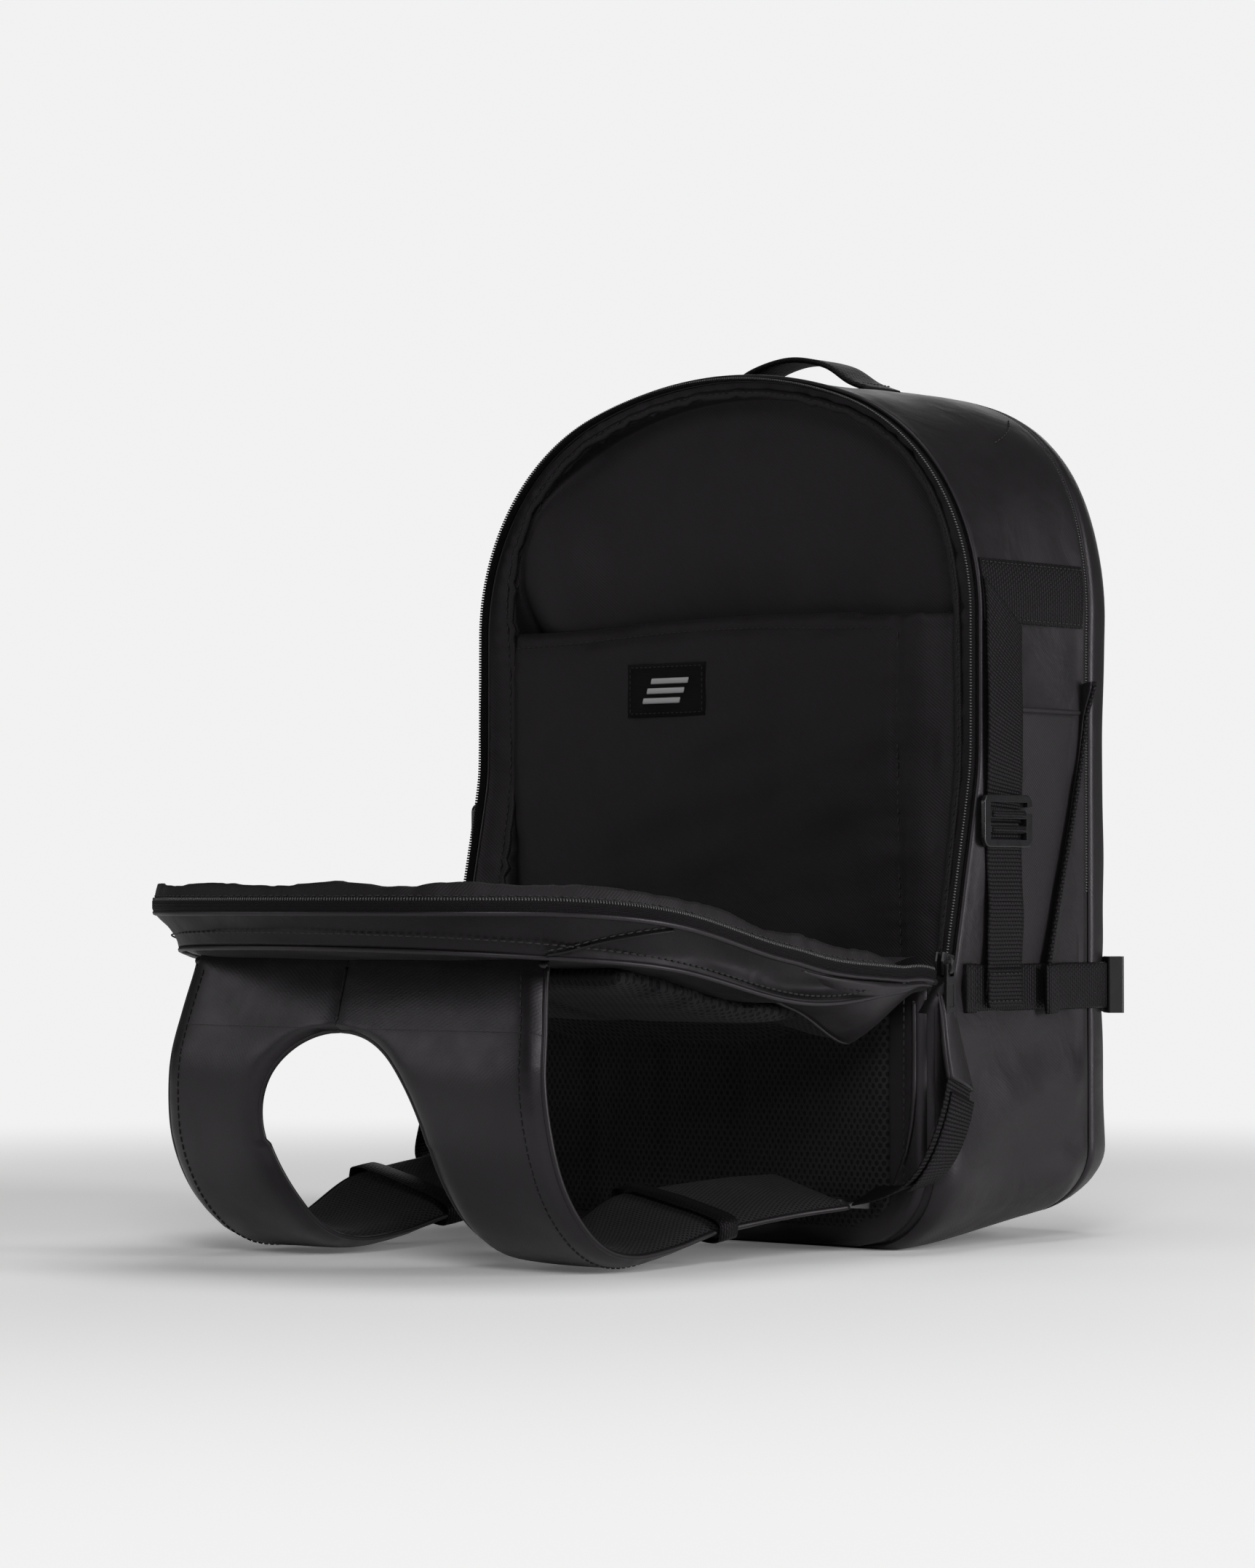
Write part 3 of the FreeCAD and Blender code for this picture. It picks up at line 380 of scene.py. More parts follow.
def spindles(name, centres, axes, length, radius, paint, sides=5):
    """Many small rounded rods in one mesh: stitches and zip teeth."""
    centres, axes = np.asarray(centres, float), unit(np.asarray(axes, float))
    helper = np.where(np.abs(axes[:, 2:]) < 0.9, [[0, 0, 1.0]], [[1.0, 0, 0]])
    side = unit(np.cross(axes, helper))[:, None]
    over = np.cross(axes, side[:, 0])[:, None]
    turns = np.linspace(0, 2 * math.pi, sides, endpoint=False)[None, :, None]
    rings = [(-0.5, 0.35), (-0.32, 1), (0.32, 1), (0.5, 0.35)]
    parts = []
    for shift, swell in rings:
        centre = centres + axes * (shift * length)
        parts.append(centre[:, None] + radius * swell * (np.cos(turns) * side + np.sin(turns) * over))
    points = np.stack(parts, axis=1).reshape(-1, 3)
    faces = []
    for base in range(0, len(points), len(rings) * sides):
        for start in (base, base + sides, base + 2 * sides):
            for c in range(sides):
                d = (c + 1) % sides
                faces.append((start + c, start + d, start + sides + d, start + sides + c))
        faces.append(tuple(base + c for c in reversed(range(sides))))
        faces.append(tuple(base + 3 * sides + c for c in range(sides)))
    return new_object(name, points, faces, paint)


def stitches(name, path, pitch=4.2, length=3.1, radius=0.46, lift=(0, 0, 0)):
    """A dashed seam along a path, raised by lift, which may be one vector or one for each point."""
    path = np.asarray(path, float) + np.asarray(lift, float)
    count = max(2, int(distances(path)[-1] / pitch))
    centres = resampled(path, 2 * count + 1)
    return spindles(name, centres[1::2], centres[2::2] - centres[:-2:2], length, radius, THREAD)


def teeth(name, path, across):
    """The coil's teeth along the edge of a zip tape."""
    path = np.asarray(path, float)
    count = int(distances(path)[-1] / 1.55)
    both = resampled(np.hstack([path, np.broadcast_to(across, path.shape)]), count)
    return spindles(name, both[:, :3], both[:, 3:], 2.3, 0.62, TEETH, sides=6)


# ---------------------------------------------------------------- materials

class Shader:
    """A node material being built. Values that are sockets are linked, and others are set."""

    def __init__(self, name):
        self.material = bpy.data.materials.new(name)
        self.material.use_nodes = True
        self.tree = self.material.node_tree
        self.surface = self.tree.nodes["Principled BSDF"]

    def put(self, socket, value):
        if isinstance(value, bpy.types.NodeSocket):
            self.tree.links.new(value, socket)
        else:
            socket.default_value = value

    def add(self, kind, inputs, output=0, **settings):
        node = self.tree.nodes.new(kind)
        for name, value in settings.items():
            setattr(node, name, value)
        for name, value in inputs.items():
            self.put(node.inputs[name], value)
        return node.outputs[output]

    def math(self, operation, a, b=0.0):
        return self.add("ShaderNodeMath", {0: a, 1: b}, operation=operation)

    def scaled(self, value, factor, offset):
        return self.math("ADD", self.math("MULTIPLY", value, factor), offset)

    def vector(self, operation, a, b=(0, 0, 0)):
        output = 1 if operation == "LENGTH" else 0
        return self.add("ShaderNodeVectorMath", {0: a, 1: b}, output, operation=operation)

    def blend(self, factor, a, b):
        return self.add("ShaderNodeMix", {"Factor": factor, "A": a, "B": b}, data_type="FLOAT")

    def tint(self, factor, a, b):
        colours = [(*value, 1) if isinstance(value, tuple) else value for value in (a, b)]
        return self.add("ShaderNodeMix", {0: factor, 6: colours[0], 7: colours[1]}, 2, data_type="RGBA")

    def where(self, kind="UV"):
        return self.add("ShaderNodeTexCoord", {}, output={"UV": 2, "Object": 3}[kind])

    def noise(self, scale, vector, detail=2.0, distortion=0.0):
        inputs = {"Vector": vector, "Scale": scale, "Detail": detail, "Distortion": distortion}
        return self.add("ShaderNodeTexNoise", inputs)

    def wave(self, scale, vector, distortion, detail=2.0, **settings):
        inputs = {"Vector": vector, "Scale": scale, "Distortion": distortion, "Detail": detail}
        return self.add("ShaderNodeTexWave", inputs, output=1, **settings)

    def ease(self, value, start, end):
        inputs = {"Value": value, "From Min": start, "From Max": end}
        return self.add("ShaderNodeMapRange", inputs, interpolation_type="SMOOTHSTEP")

    def bump(self, height, distance, strength=1.0, normal=None):
        inputs = {"Height": height, "Distance": distance, "Strength": strength}
        if normal is not None:
            inputs["Normal"] = normal
        return self.add("ShaderNodeBump", inputs)

    def finish(self, **inputs):
        """Sets the surface's inputs, whose names have _ for a space, and returns the material."""
        for name, value in inputs.items():
            label = name.replace("_", " ")
            if label == "Base Color" and isinstance(value, tuple):
                value = (*value, 1)
            self.put(self.surface.inputs[label], value)
        return self.material


PLUM = (1.0, 0.93, 1.0, 1)  # the slight colour of every cloth's shine


def coated_fabric(name, dark, light, roughness, crease=1.0, shine=0.45):
    """Polyurethane-coated cloth with a fine pebble, faint backing weave and long soft creases."""
    s = Shader(name)
    uv, place = s.where("UV"), s.where("Object")
    pebble = s.add("ShaderNodeTexVoronoi", {"Vector": uv, "Scale": 1250.0, "Smoothness": 0.6},
                   feature="SMOOTH_F1")
    weave = s.wave(310.0, uv, 0.6, bands_direction="DIAGONAL")
    grain = s.blend(0.35, pebble, weave)
    folds = s.noise(26.0, place, 3.0, 0.8)
    scuff = s.noise(75.0, place, 5.0)
    normal = s.bump(grain, 0.00007, 0.55)
    normal = s.bump(folds, 0.0016 * crease, 0.5, normal)
    patches = s.noise(11.0, place, 4.0, 0.4)
    rough = s.scaled(scuff, 0.16, roughness - 0.08)
    rough = s.math("ADD", rough, s.math("MULTIPLY", grain, 0.06))
    return s.finish(Base_Color=s.tint(patches, dark, light), Roughness=rough, Normal=normal,
                    Specular_IOR_Level=shine, Specular_Tint=PLUM, Sheen_Weight=0.02, Sheen_Roughness=0.4)


def twill(name, dark, light, roughness=0.62):
    """Fine diagonal lining cloth with a satin glow, lighter where its bump rises: painted shade."""
    s = Shader(name)
    uv, place = s.where("UV"), s.where("Object")
    rib = s.wave(330.0, uv, 0.9, detail=1.0, bands_direction="DIAGONAL")
    slub = s.noise(900.0, uv, 3.0)
    cloth = s.blend(0.45, rib, slub)
    soft = s.noise(20.0, place, 3.0, 1.2)
    normal = s.bump(cloth, 0.00016, 0.7)
    normal = s.bump(soft, 0.002, 0.35, normal)
    # The colour follows the bump's height and is lighter on the soft folds and ribs: painted shade, with
    # the slubs' random tone mixed in.
    shade = s.math("ADD", s.math("MULTIPLY", soft, 0.6), s.math("MULTIPLY", cloth, 0.4))
    return s.finish(Base_Color=s.tint(shade, dark, light), Roughness=roughness, Normal=normal,
                    Specular_IOR_Level=0.35, Specular_Tint=PLUM, Sheen_Weight=0.06, Sheen_Roughness=0.35,
                    Sheen_Tint=(0.52, 0.48, 0.53, 1))


def spacer_mesh(name, pitch):
    """Two-layer spacer mesh: holes in staggered rows, painted near-black as shade, edged by soft raised
    yarn.
    """
    s = Shader(name)
    uv = s.where("UV")
    rows = s.vector("MULTIPLY", uv, (1000 / pitch, 1000 / (pitch * 1.6), 1))

    def hole(shift):
        cell = s.vector("FRACTION", s.vector("ADD", rows, (shift, shift, 0)))
        middle = s.vector("SUBTRACT", cell, (0.5, 0.5, 0))
        return s.vector("LENGTH", s.vector("MULTIPLY", middle, (1, 1.35, 0)))

    nearest = s.math("MINIMUM", hole(0.0), hole(0.5))
    strands = s.ease(nearest, 0.19, 0.34)
    knit = s.wave(420.0, uv, 2.0)
    height = s.math("ADD", strands, s.math("MULTIPLY", knit, 0.12))
    fuzz = s.noise(60.0, s.where("Object"), 3.0)
    lit = s.tint(fuzz, (0.013, 0.013, 0.014), (0.026, 0.026, 0.028))
    # The holes' near-black is painted shade in the recesses; the yarn is lighter, with a random fuzzy
    # tone.
    return s.finish(Base_Color=s.tint(strands, (0.0015, 0.0015, 0.0016), lit), Roughness=0.78,
                    Normal=s.bump(height, 0.0007, 0.9), Specular_IOR_Level=0.3, Specular_Tint=PLUM,
                    Sheen_Weight=0.03, Sheen_Roughness=0.5)


def ribbed_webbing(name, pitch, roughness=0.5):
    """Nylon webbing: rows of short crosswise ribs, staggered row by row, with painted shade between
    them.
    """
    s = Shader(name)
    uv = s.where("UV")
    split = s.tree.nodes.new("ShaderNodeSeparateXYZ")
    s.put(split.inputs[0], uv)
    row = s.math("MULTIPLY", split.outputs[1], 1000 / pitch)
    stagger = s.math("MULTIPLY", s.math("MODULO", s.math("FLOOR", row), 2.0), 0.5)
    column = s.scaled(split.outputs[0], 1000 / (pitch * 1.15), stagger)

    def hump(value):
        return s.math("ABSOLUTE", s.math("SINE", s.math("MULTIPLY", value, math.pi)))

    rib = s.math("MULTIPLY", s.math("POWER", hump(row), 0.7), s.scaled(hump(column), 0.5, 0.5))
    fibre = s.noise(700.0, uv, 4.0)
    height = s.math("ADD", rib, s.math("MULTIPLY", fibre, 0.15))
    # Near-black between the ribs and lighter on them: painted shade in the grooves, times a random tone.
    shade = s.math("MULTIPLY", rib, s.scaled(s.noise(40.0, s.where("Object")), 0.5, 0.6))
    colour = s.tint(shade, (0.0006, 0.0005, 0.0006), (0.0125, 0.0110, 0.0125))
    return s.finish(Base_Color=colour, Roughness=roughness, Normal=s.bump(height, 0.0005, 0.9),
                    Specular_IOR_Level=0.16, Specular_Tint=PLUM, Sheen_Weight=0.01)


def hard(name, colour, roughness, metallic, bevel_mm, coat=0.0):
    """Moulded plastic or painted metal, with softened edges and a fine haze that breaks up its shine."""
    s = Shader(name)
    place = s.where("Object")
    round_off = s.add("ShaderNodeBevel", {"Radius": bevel_mm * MM}, samples=6)
    orange = s.noise(900.0, place, 3.0)
    haze = s.noise(160.0, place, 6.0)
    worn = s.noise(45.0, place, 5.0)
    normal = s.bump(orange, 0.00003, 0.5, round_off)
    rough = s.scaled(haze, 0.2, roughness - 0.1)
    lighter = tuple(c * 1.7 + 0.004 for c in colour)
    return s.finish(Base_Color=s.tint(worn, colour, lighter), Metallic=metallic, Roughness=rough,
                    Normal=normal, Coat_Weight=coat, Coat_Roughness=0.2)


def yarn(name, colour):
    """Twisted sewing thread, lighter on the twist's raised ridges: painted shade."""
    s = Shader(name)
    twist = s.wave(700.0, s.where("Object"), 1.5, bands_direction="DIAGONAL")
    lighter = tuple(c * 1.6 for c in colour)
    # Lighter where the twist's bump rises: painted shade of the twist.
    return s.finish(Base_Color=s.tint(twist, colour, lighter), Roughness=0.6,
                    Normal=s.bump(twist, 0.0002, 0.6), Sheen_Weight=0.05)


# The coated cloths differ in their darkest and lightest colour, roughness, creases and shine.
LEATHER = coated_fabric("coated_smooth", (0.0068, 0.0060, 0.0067), (0.0128, 0.0113, 0.0124), 0.40)
STRAP_LEATHER = coated_fabric("coated_taut", (0.0066, 0.0058, 0.0067), (0.0108, 0.0096, 0.0109),
                              0.35, crease=0.3, shine=0.50)
GUSSET = coated_fabric("coated_side", (0.0060, 0.0053, 0.0059), (0.0128, 0.0113, 0.0125),
                       0.44, crease=1.3, shine=0.40)
# The flap's cloth is a much darker copy of the coated cloth: painted shade on its side wall under the
# overhang, and on the pipings, whose highlights it dims.
SHADED_SKIN = coated_fabric("coated_shaded", (0.0026, 0.0023, 0.0026), (0.0070, 0.0062, 0.0069),
                          0.46, crease=1.8, shine=0.28)
LINING = twill("lining_twill", (0.0072, 0.0064, 0.0070), (0.0200, 0.0182, 0.0198))
POCKET = twill("pocket_twill", (0.0042, 0.0036, 0.0040), (0.0112, 0.0100, 0.0110), 0.60)
MESH = spacer_mesh("spacer_mesh", 3.9)
STRAP_MESH = spacer_mesh("strap_mesh", 2.6)
WEBBING = ribbed_webbing("ribbed_webbing", 2.1)
TAPE_CLOTH = ribbed_webbing("zip_tape_cloth", 0.75, 0.6)
BINDING = twill("seam_binding", (0.0040, 0.0037, 0.0039), (0.014, 0.013, 0.0135), 0.6)
TEETH = hard("zip_coil", (0.020, 0.020, 0.021), 0.30, 0.0, bevel_mm=0.15, coat=0.6)
METAL = hard("black_nickel", (0.016, 0.016, 0.018), 0.30, 0.5, bevel_mm=0.35, coat=0.4)
PLASTIC = hard("moulded_plastic", (0.010, 0.010, 0.011), 0.40, 0.0, bevel_mm=0.6)
THREAD = yarn("thread", (0.008, 0.0075, 0.008))
PALE_THREAD = yarn("pale_thread", (0.45, 0.45, 0.46))
PATCH = ribbed_webbing("woven_patch", 0.55, 0.65)


# ---------------------------------------------------------------- placing pieces

def belong(obj, body, slot, *nodes):
    """A finished piece: the body it rides on, its material slot, which is not used, and the CAD nodes it
    stands for.
    """
    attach(obj, body)
    if nodes:
        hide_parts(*nodes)


def bridge(obj, first, second, start, end, slot, *nodes):
    """A piece between two bodies, kept as drawn: its transform is baked in and the CAD nodes it stands
    for are hidden.
    """
    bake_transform(obj)
    if nodes:
        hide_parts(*nodes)


# ---------------------------------------------------------------- padded pieces

PADS = []  # pads that wait for the cloth simulation
SWELL_FRAMES = 20
SWELL_PRESSURE = 4.0


def pad(name, grid, paint, body, slot, node, voxel=5.0, cap=6.0, after=None, flat=(0, 2)):
    """A closed form that the simulation swells by up to cap. after(points) then sews its seams in."""
    obj = sheet(name, grid, paint, closed=True, caps=True)
    PADS.append((obj, body, slot, node, voxel, cap, after, flat))


def baked(obj):
    """Replaces the object's mesh by its evaluated one and drops its modifiers."""
    depsgraph = bpy.context.evaluated_depsgraph_get()
    mesh = bpy.data.meshes.new_from_object(obj.evaluated_get(depsgraph))
    paint = obj.data.materials[0]
    obj.modifiers.clear()
    obj.data = mesh
    if not mesh.materials:
        mesh.materials.append(paint)


def read_points(mesh):
    co = np.zeros(len(mesh.vertices) * 3, np.float32)
    mesh.vertices.foreach_get("co", co)
    return co.reshape(-1, 3).astype(float) / MM


def prepare_pad(obj, voxel):
    """Remeshes a pad evenly and sets up its inflation."""
    remesh = obj.modifiers.new("Remesh", "REMESH")
    remesh.mode = "VOXEL"
    remesh.voxel_size = voxel * MM
    remesh.use_smooth_shade = True
    baked(obj)
    cloth = obj.modifiers.new("Swell", "CLOTH")
    cloth.settings.use_pressure = True
    cloth.settings.uniform_pressure_force = SWELL_PRESSURE
    cloth.settings.effector_weights.gravity = 0
    cloth.settings.quality = 4
    cloth.collision_settings.use_collision = False
    cloth.point_cache.frame_start = 1
    cloth.point_cache.frame_end = SWELL_FRAMES


def finish_pad(obj, points, flat):
    """Gives a pad its final points, its UVs and one level of smoothing."""
    mesh = obj.data
    mesh.vertices.foreach_set("co", (points * MM).astype(np.float32).ravel())
    mesh.update()
    layer = mesh.uv_layers.new(name="uv")
    loops = np.zeros(len(mesh.loops), np.int32)
    mesh.loops.foreach_get("vertex_index", loops)
    layer.data.foreach_set("uv", (points[loops][:, list(flat)] * MM).ravel())
    mesh.polygons.foreach_set("use_smooth", [True] * len(mesh.polygons))
    smoothing = obj.modifiers.new("Smooth", "SUBSURF")
    smoothing.levels = smoothing.render_levels = 1
    baked(obj)


def swell_pads():
    """Inflates all the pads together and keeps the result."""
    scene = bpy.context.scene
    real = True
    for obj, _, _, _, voxel, _, _, _ in PADS:
        prepare_pad(obj, voxel)
    if real:
        for number in range(1, SWELL_FRAMES + 1):
            scene.frame_set(number)
    depsgraph = bpy.context.evaluated_depsgraph_get()
    for obj, body, slot, node, _, cap, after, flat in PADS:
        points = read_points(obj.data)
        if real:
            shift = read_points(obj.evaluated_get(depsgraph).data) - points
            length = np.linalg.norm(shift, axis=1, keepdims=True)
            points = points + shift * np.minimum(1, cap / np.maximum(length, TINY))
        obj.modifiers.clear()
        finish_pad(obj, after(points), flat)
        belong(obj, body, slot, node)
    scene.frame_set(1)


def groove(points, distance, width, depth, direction):
    """Sews a channel: pulls points near a line in along a direction."""
    return points + np.exp(-((distance / width) ** 2))[:, None] * depth * np.asarray(direction, float)


def channels(width, depth, direction):
    """The mesh pads' three upright channels, as a function of points."""
    def sewn(points):
        across = np.abs(points[:, 0])
        return groove(points, np.minimum(np.abs(across - CHANNEL_X), across), width, depth, direction)

    return sewn


# ---------------------------------------------------------------- shell

def skin_front(z):
    """Y of the side skin's front edge: the rim, and the toe below it."""
    return rim_y(z) + (TOE_Y + 0.8 - rim_y(z)) * (1 - smooth(128, 150, z))


def wall_folds(points):
    """How far the side wall's cloth stands out in its long and its small folds."""
    return ripples(points * (1, 0.55, 1), 95, 3) * 1.5 + ripples(points, 30, 4) * 0.3


def side_skin():
    """Side wall, crown and base in one cloth, rolled over at the front edge."""
    columns = ring(0)
    normals = outward(columns)
    front = skin_front(columns[:, 1])
    roll = 13 * (1 - smooth(118, 146, columns[:, 1])) + 0.6
    rows = []
    for share in np.concatenate([np.linspace(0, 0.09, 7)[:-1], np.linspace(0.09, 1, 30)]):
        y = front + (SEAM_Y - front) * share
        turn = np.clip((y - front) / roll, 0, 1)
        inset = roll * (1 - np.sqrt(1 - (1 - turn) ** 2))
        points = at_y(columns - normals * inset[:, None], y)
        grip = smooth(0, 0.12, share) * smooth(1.0, 0.9, share)
        slack = ripples(points * (1, 0.62, 1.35), 78, 9) * 4.4 * smooth(126, 84, points[:, 2])
        strapped = -2.0 * hill(points[:, 2], WAIST_Z, 15) * (np.abs(points[:, 0]) > 150)
        floor = smooth(0.5, 14, points[:, 2])
        push = (wall_folds(points) + slack) * grip * floor + strapped * grip
        points[:, [0, 2]] += normals * push[:, None]
        points[:, 2] = np.maximum(points[:, 2], FLOOR_GAP)
        rows.append(stuffed(points))
    skin = sheet("side_skin", rows, GUSSET, closed=True, thick=2.0)
    belong(skin, "shell", SKIN, "side_gusset", "base_panel")


def shell_seams():
    """Piping beside the main zip and along the base, the rim's hem, and the shoulders' darts."""
    pipings = (("front", 0.4, SEAM_Y - 5, 1.3, 190), ("rear", 1.4, SEAM_Y + 9, 1.9, 46))
    # The pipings here and along the base use the much darker shaded cloth: painted shade that dims their
    # highlights.
    for name, inset, y, radius, foot in pipings:
        line = arch(inset, foot)
        thin = radius * (0.55 + 0.45 * smooth(260, 340, line[:, 1]))
        belong(tube(f"seam_piping_{name}", stuffed(at_y(line, y)), thin, SHADED_SKIN), "shell", SKIN)
    edge = ring(1.6)
    edge = edge[edge[:, 1] < 50]
    edge = edge[np.argsort(np.arctan2(edge[:, 0], 60 - edge[:, 1]))]
    belong(tube("base_piping", stuffed(at_y(edge, SEAM_Y + 9)), 1.1, SHADED_SKIN), "shell", SKIN)
    hem = arch(0.9, 150)
    belong(tube("rim_hem", at_y(hem, rim_y(hem[:, 1]) + 1.6), 1.7, GUSSET), "shell", SKIN)
    for side, sign in SIDES:
        turns = np.radians([44, 46, 49, 53])
        facing = xyz(np.cos(turns) * sign, 0, np.sin(turns))
        centre = (sign * SHOULDER_X, 0, SHOULDER_Z)
        dart = centre + facing * SHOULDER_RADIUS + np.outer([2, 14, 26, 37], (0, 1, 0))
        dart = dart + facing * (wall_folds(dart) + 2.2)[:, None]
        belong(stitches(f"shoulder_dart_{side}", stuffed(spline(dart, 30))), "shell", SKIN)


def main_zip():
    """The main compartment's shut zip along the seam."""
    line = arch(-0.6, 46)
    line = line[line[:, 1] > 190]
    tape = [stuffed(at_y(line, SEAM_Y + d)) for d in np.linspace(-4.5, 4.5, 4)]
    belong(sheet("main_zip_tape", tape, TAPE_CLOTH, thick=0.8), "shell", "zip", "main_zip_chain")
    chain = stuffed(at_y(arch(-1.5, 190, 3), SEAM_Y))
    belong(teeth("main_zip_teeth", chain, (0, 1, 0)), "shell", "zip")


def shrunk(loop, centre, share):
    """The loop's (x, z) drawn in towards a centre by a share of the way."""
    loop = loop.copy()
    loop[:, [0, 2]] = centre + (loop[:, [0, 2]] - centre) * (1 - share)
    return loop


def outer_skin():
    """The outer panel: its rounded edge, the front pocket's relief and the waist strap's dent."""
    radius = OUTER_Y - SEAM_Y
    rows = []
    for turn in np.linspace(0, math.pi / 2, 12):
        inset = (radius - 3) * (1 - math.cos(turn))
        rows.append(at_y(ring(inset), SEAM_Y + 2 + (radius - 3) * math.sin(turn)))
    last = rows[-1]
    for share in np.linspace(0, 0.97, 26)[1:]:
        inner = shrunk(last, (0, 232.0), share)
        inner[:, 1] = last[:, 1] + 4.5 * (1 - (1 - share) ** 2)
        rows.append(inner)
    grid = np.array(rows)
    x, z = np.abs(grid[..., 0]), grid[..., 2]
    pocket_edge = np.maximum(x - 118, np.maximum(z - 300, 44 - z))
    relief = 3.2 * smooth(4, -12, pocket_edge) + 1.3 * ripples(grid * (1, 1, 0.8), 120, 21)
    relief += 0.3 * ripples(grid, 36, 22)
    belt = hill(z, WAIST_Z, 16) * smooth(20, 60, x)
    grid[..., 1] += (relief - 2.2 * belt) * smooth(0, 3, np.arange(len(rows)))[:, None]
    grid[..., 2] = np.maximum(grid[..., 2], FLOOR_GAP)
    grid = stuffed(grid)
    skin = sheet("outer_skin", grid, LEATHER, closed=True, fan=True, thick=2.0)
    belong(skin, "shell", SKIN, "outer_panel")
    front_pocket(grid)


def front_pocket(grid):
    """Welt and stitching of the flat pocket on the outer panel."""
    right = [(118, 60), (118, 180), (114, 262), (92, 296), (60, 304)]
    knots = [(-x, z) for x, z in right] + [(0, 306)] + right[::-1]
    depths = [-3, 0, -0.5, -0.8, 0]
    face = OUTER_Y + 5.6
    ys = [face + d for d in depths + [0.6] + depths[::-1]]
    path = spline([(x, y, z) for (x, z), y in zip(knots, ys)], 240)
    path[:, 1] = surface_y(grid, path[:, [0, 2]]) + 0.6
    belong(tube("outer_pocket_welt", path, 1.3, LEATHER), "shell", SKIN)
    inside = path * (0.955, 1, 1) - (0, 0, 5)
    inside[:, 1] = surface_y(grid, inside[:, [0, 2]])
    belong(stitches("outer_pocket_stitch", inside, lift=(0, 0.3, 0)), "shell", SKIN)


def surface_y(grid, xz):
    """Y of the nearest point of the outer panel, seen along Y."""
    flat = grid.reshape(-1, 3)
    flat = flat[flat[:, 1] > SEAM_Y + 20]
    nearest = [flat[np.argmin((flat[:, 0] - x) ** 2 + (flat[:, 2] - z) ** 2), 1] for x, z in xz]
    return averaged(nearest, 9)


def toe():
    """The panel under the fold, its welt and the mesh pad on it."""
    z = np.linspace(2, 139, 40)
    bend = 44 - np.sqrt(44**2 - np.maximum(46 - z, 0) ** 2)
    wide = (169 - bend)[:, None]
    gx = wide * np.linspace(-1, 1, 64)
    gz = np.broadcast_to(z[:, None], gx.shape)
    edge = np.minimum(wide - np.abs(gx), np.minimum(gz - 1, 142 - gz))
    grid = xyz(gx, TOE_Y + 0.4 - 4.2 * plump(edge, 7), gz)
    grid[..., 1] += 0.9 * ripples(grid * (1, 1, 0.5), 34, 31) * smooth(0, 12, edge)
    belong(sheet("toe_face", grid, LEATHER, thick=1.6), "shell", SKIN, "toe_panel")
    half = spline([(162, -95.5, 132), (163, -96.5, 100), (161, -96.5, 66), (150, -96, 36),
                   (128, -95.5, 19), (90, -95.5, 13), (0, -95.5, 12)], 90)
    whole = np.vstack([half, half[-2::-1] * (-1, 1, 1)])
    belong(tube("toe_welt", whole, 1.5, LEATHER, up=(0, 1, 0.02)), "shell", SKIN)

    rows = []
    for height in np.linspace(10, 138, 34):
        corner = math.sqrt(max(0, 26**2 - max(0, 36 - height) ** 2))
        half_wide = high("lumbar_pad")[0] + 6 - 26 + corner
        rows.append(slab_row(half_wide, TOE_Y - 6.2, TOE_Y - 0.6, height))
    sewn = channels(4, 2.2, (0, 1, 0))
    pad("lumbar_mesh", rows, MESH, "shell", "mesh", "lumbar_pad", cap=2.5, after=sewn)
    seam = xyz(158, TOE_Y - 4.4, np.linspace(134, 34, 12))
    for side, sign in SIDES:
        belong(stitches(f"toe_stitch_{side}", seam * (sign, 1, 1), lift=(0, -0.4, 0)), "shell", SKIN)


def slab_row(half_wide, front, back, z):
    """One closed row of a flat pad: its front from left to right, then its back."""
    xs = np.linspace(-half_wide, half_wide, 60)
    return np.vstack([xyz(xs, front, z), xyz(xs[::-1], back, z)])


# ---------------------------------------------------------------- racket compartment

def divider_y(x, z):
    """Y of the divider's front, which leans towards the rim at the top and bellies out at the left."""
    belly = smooth(-90, -150, x) * smooth(318, 372, z) * (1 - 0.5 * smooth(400, 450, z))
    return -12 - 24 * smooth(240, 450, z) - 22 * belly


def lining_loop(inset):
    """The bag's outline at an inset that narrows towards the crown."""
    narrow = 1 - 0.5 * smooth(340, 470, ring(0)[:, 1])[:, None]
    return ring(0) + (ring(inset) - ring(0)) * narrow


def lining_y(loop, share):
    """Y at a share of the way from the rim back to the divider."""
    start = skin_front(loop[:, 1]) + 0.9
    return start + (divider_y(loop[:, 0], loop[:, 1]) - start) * share


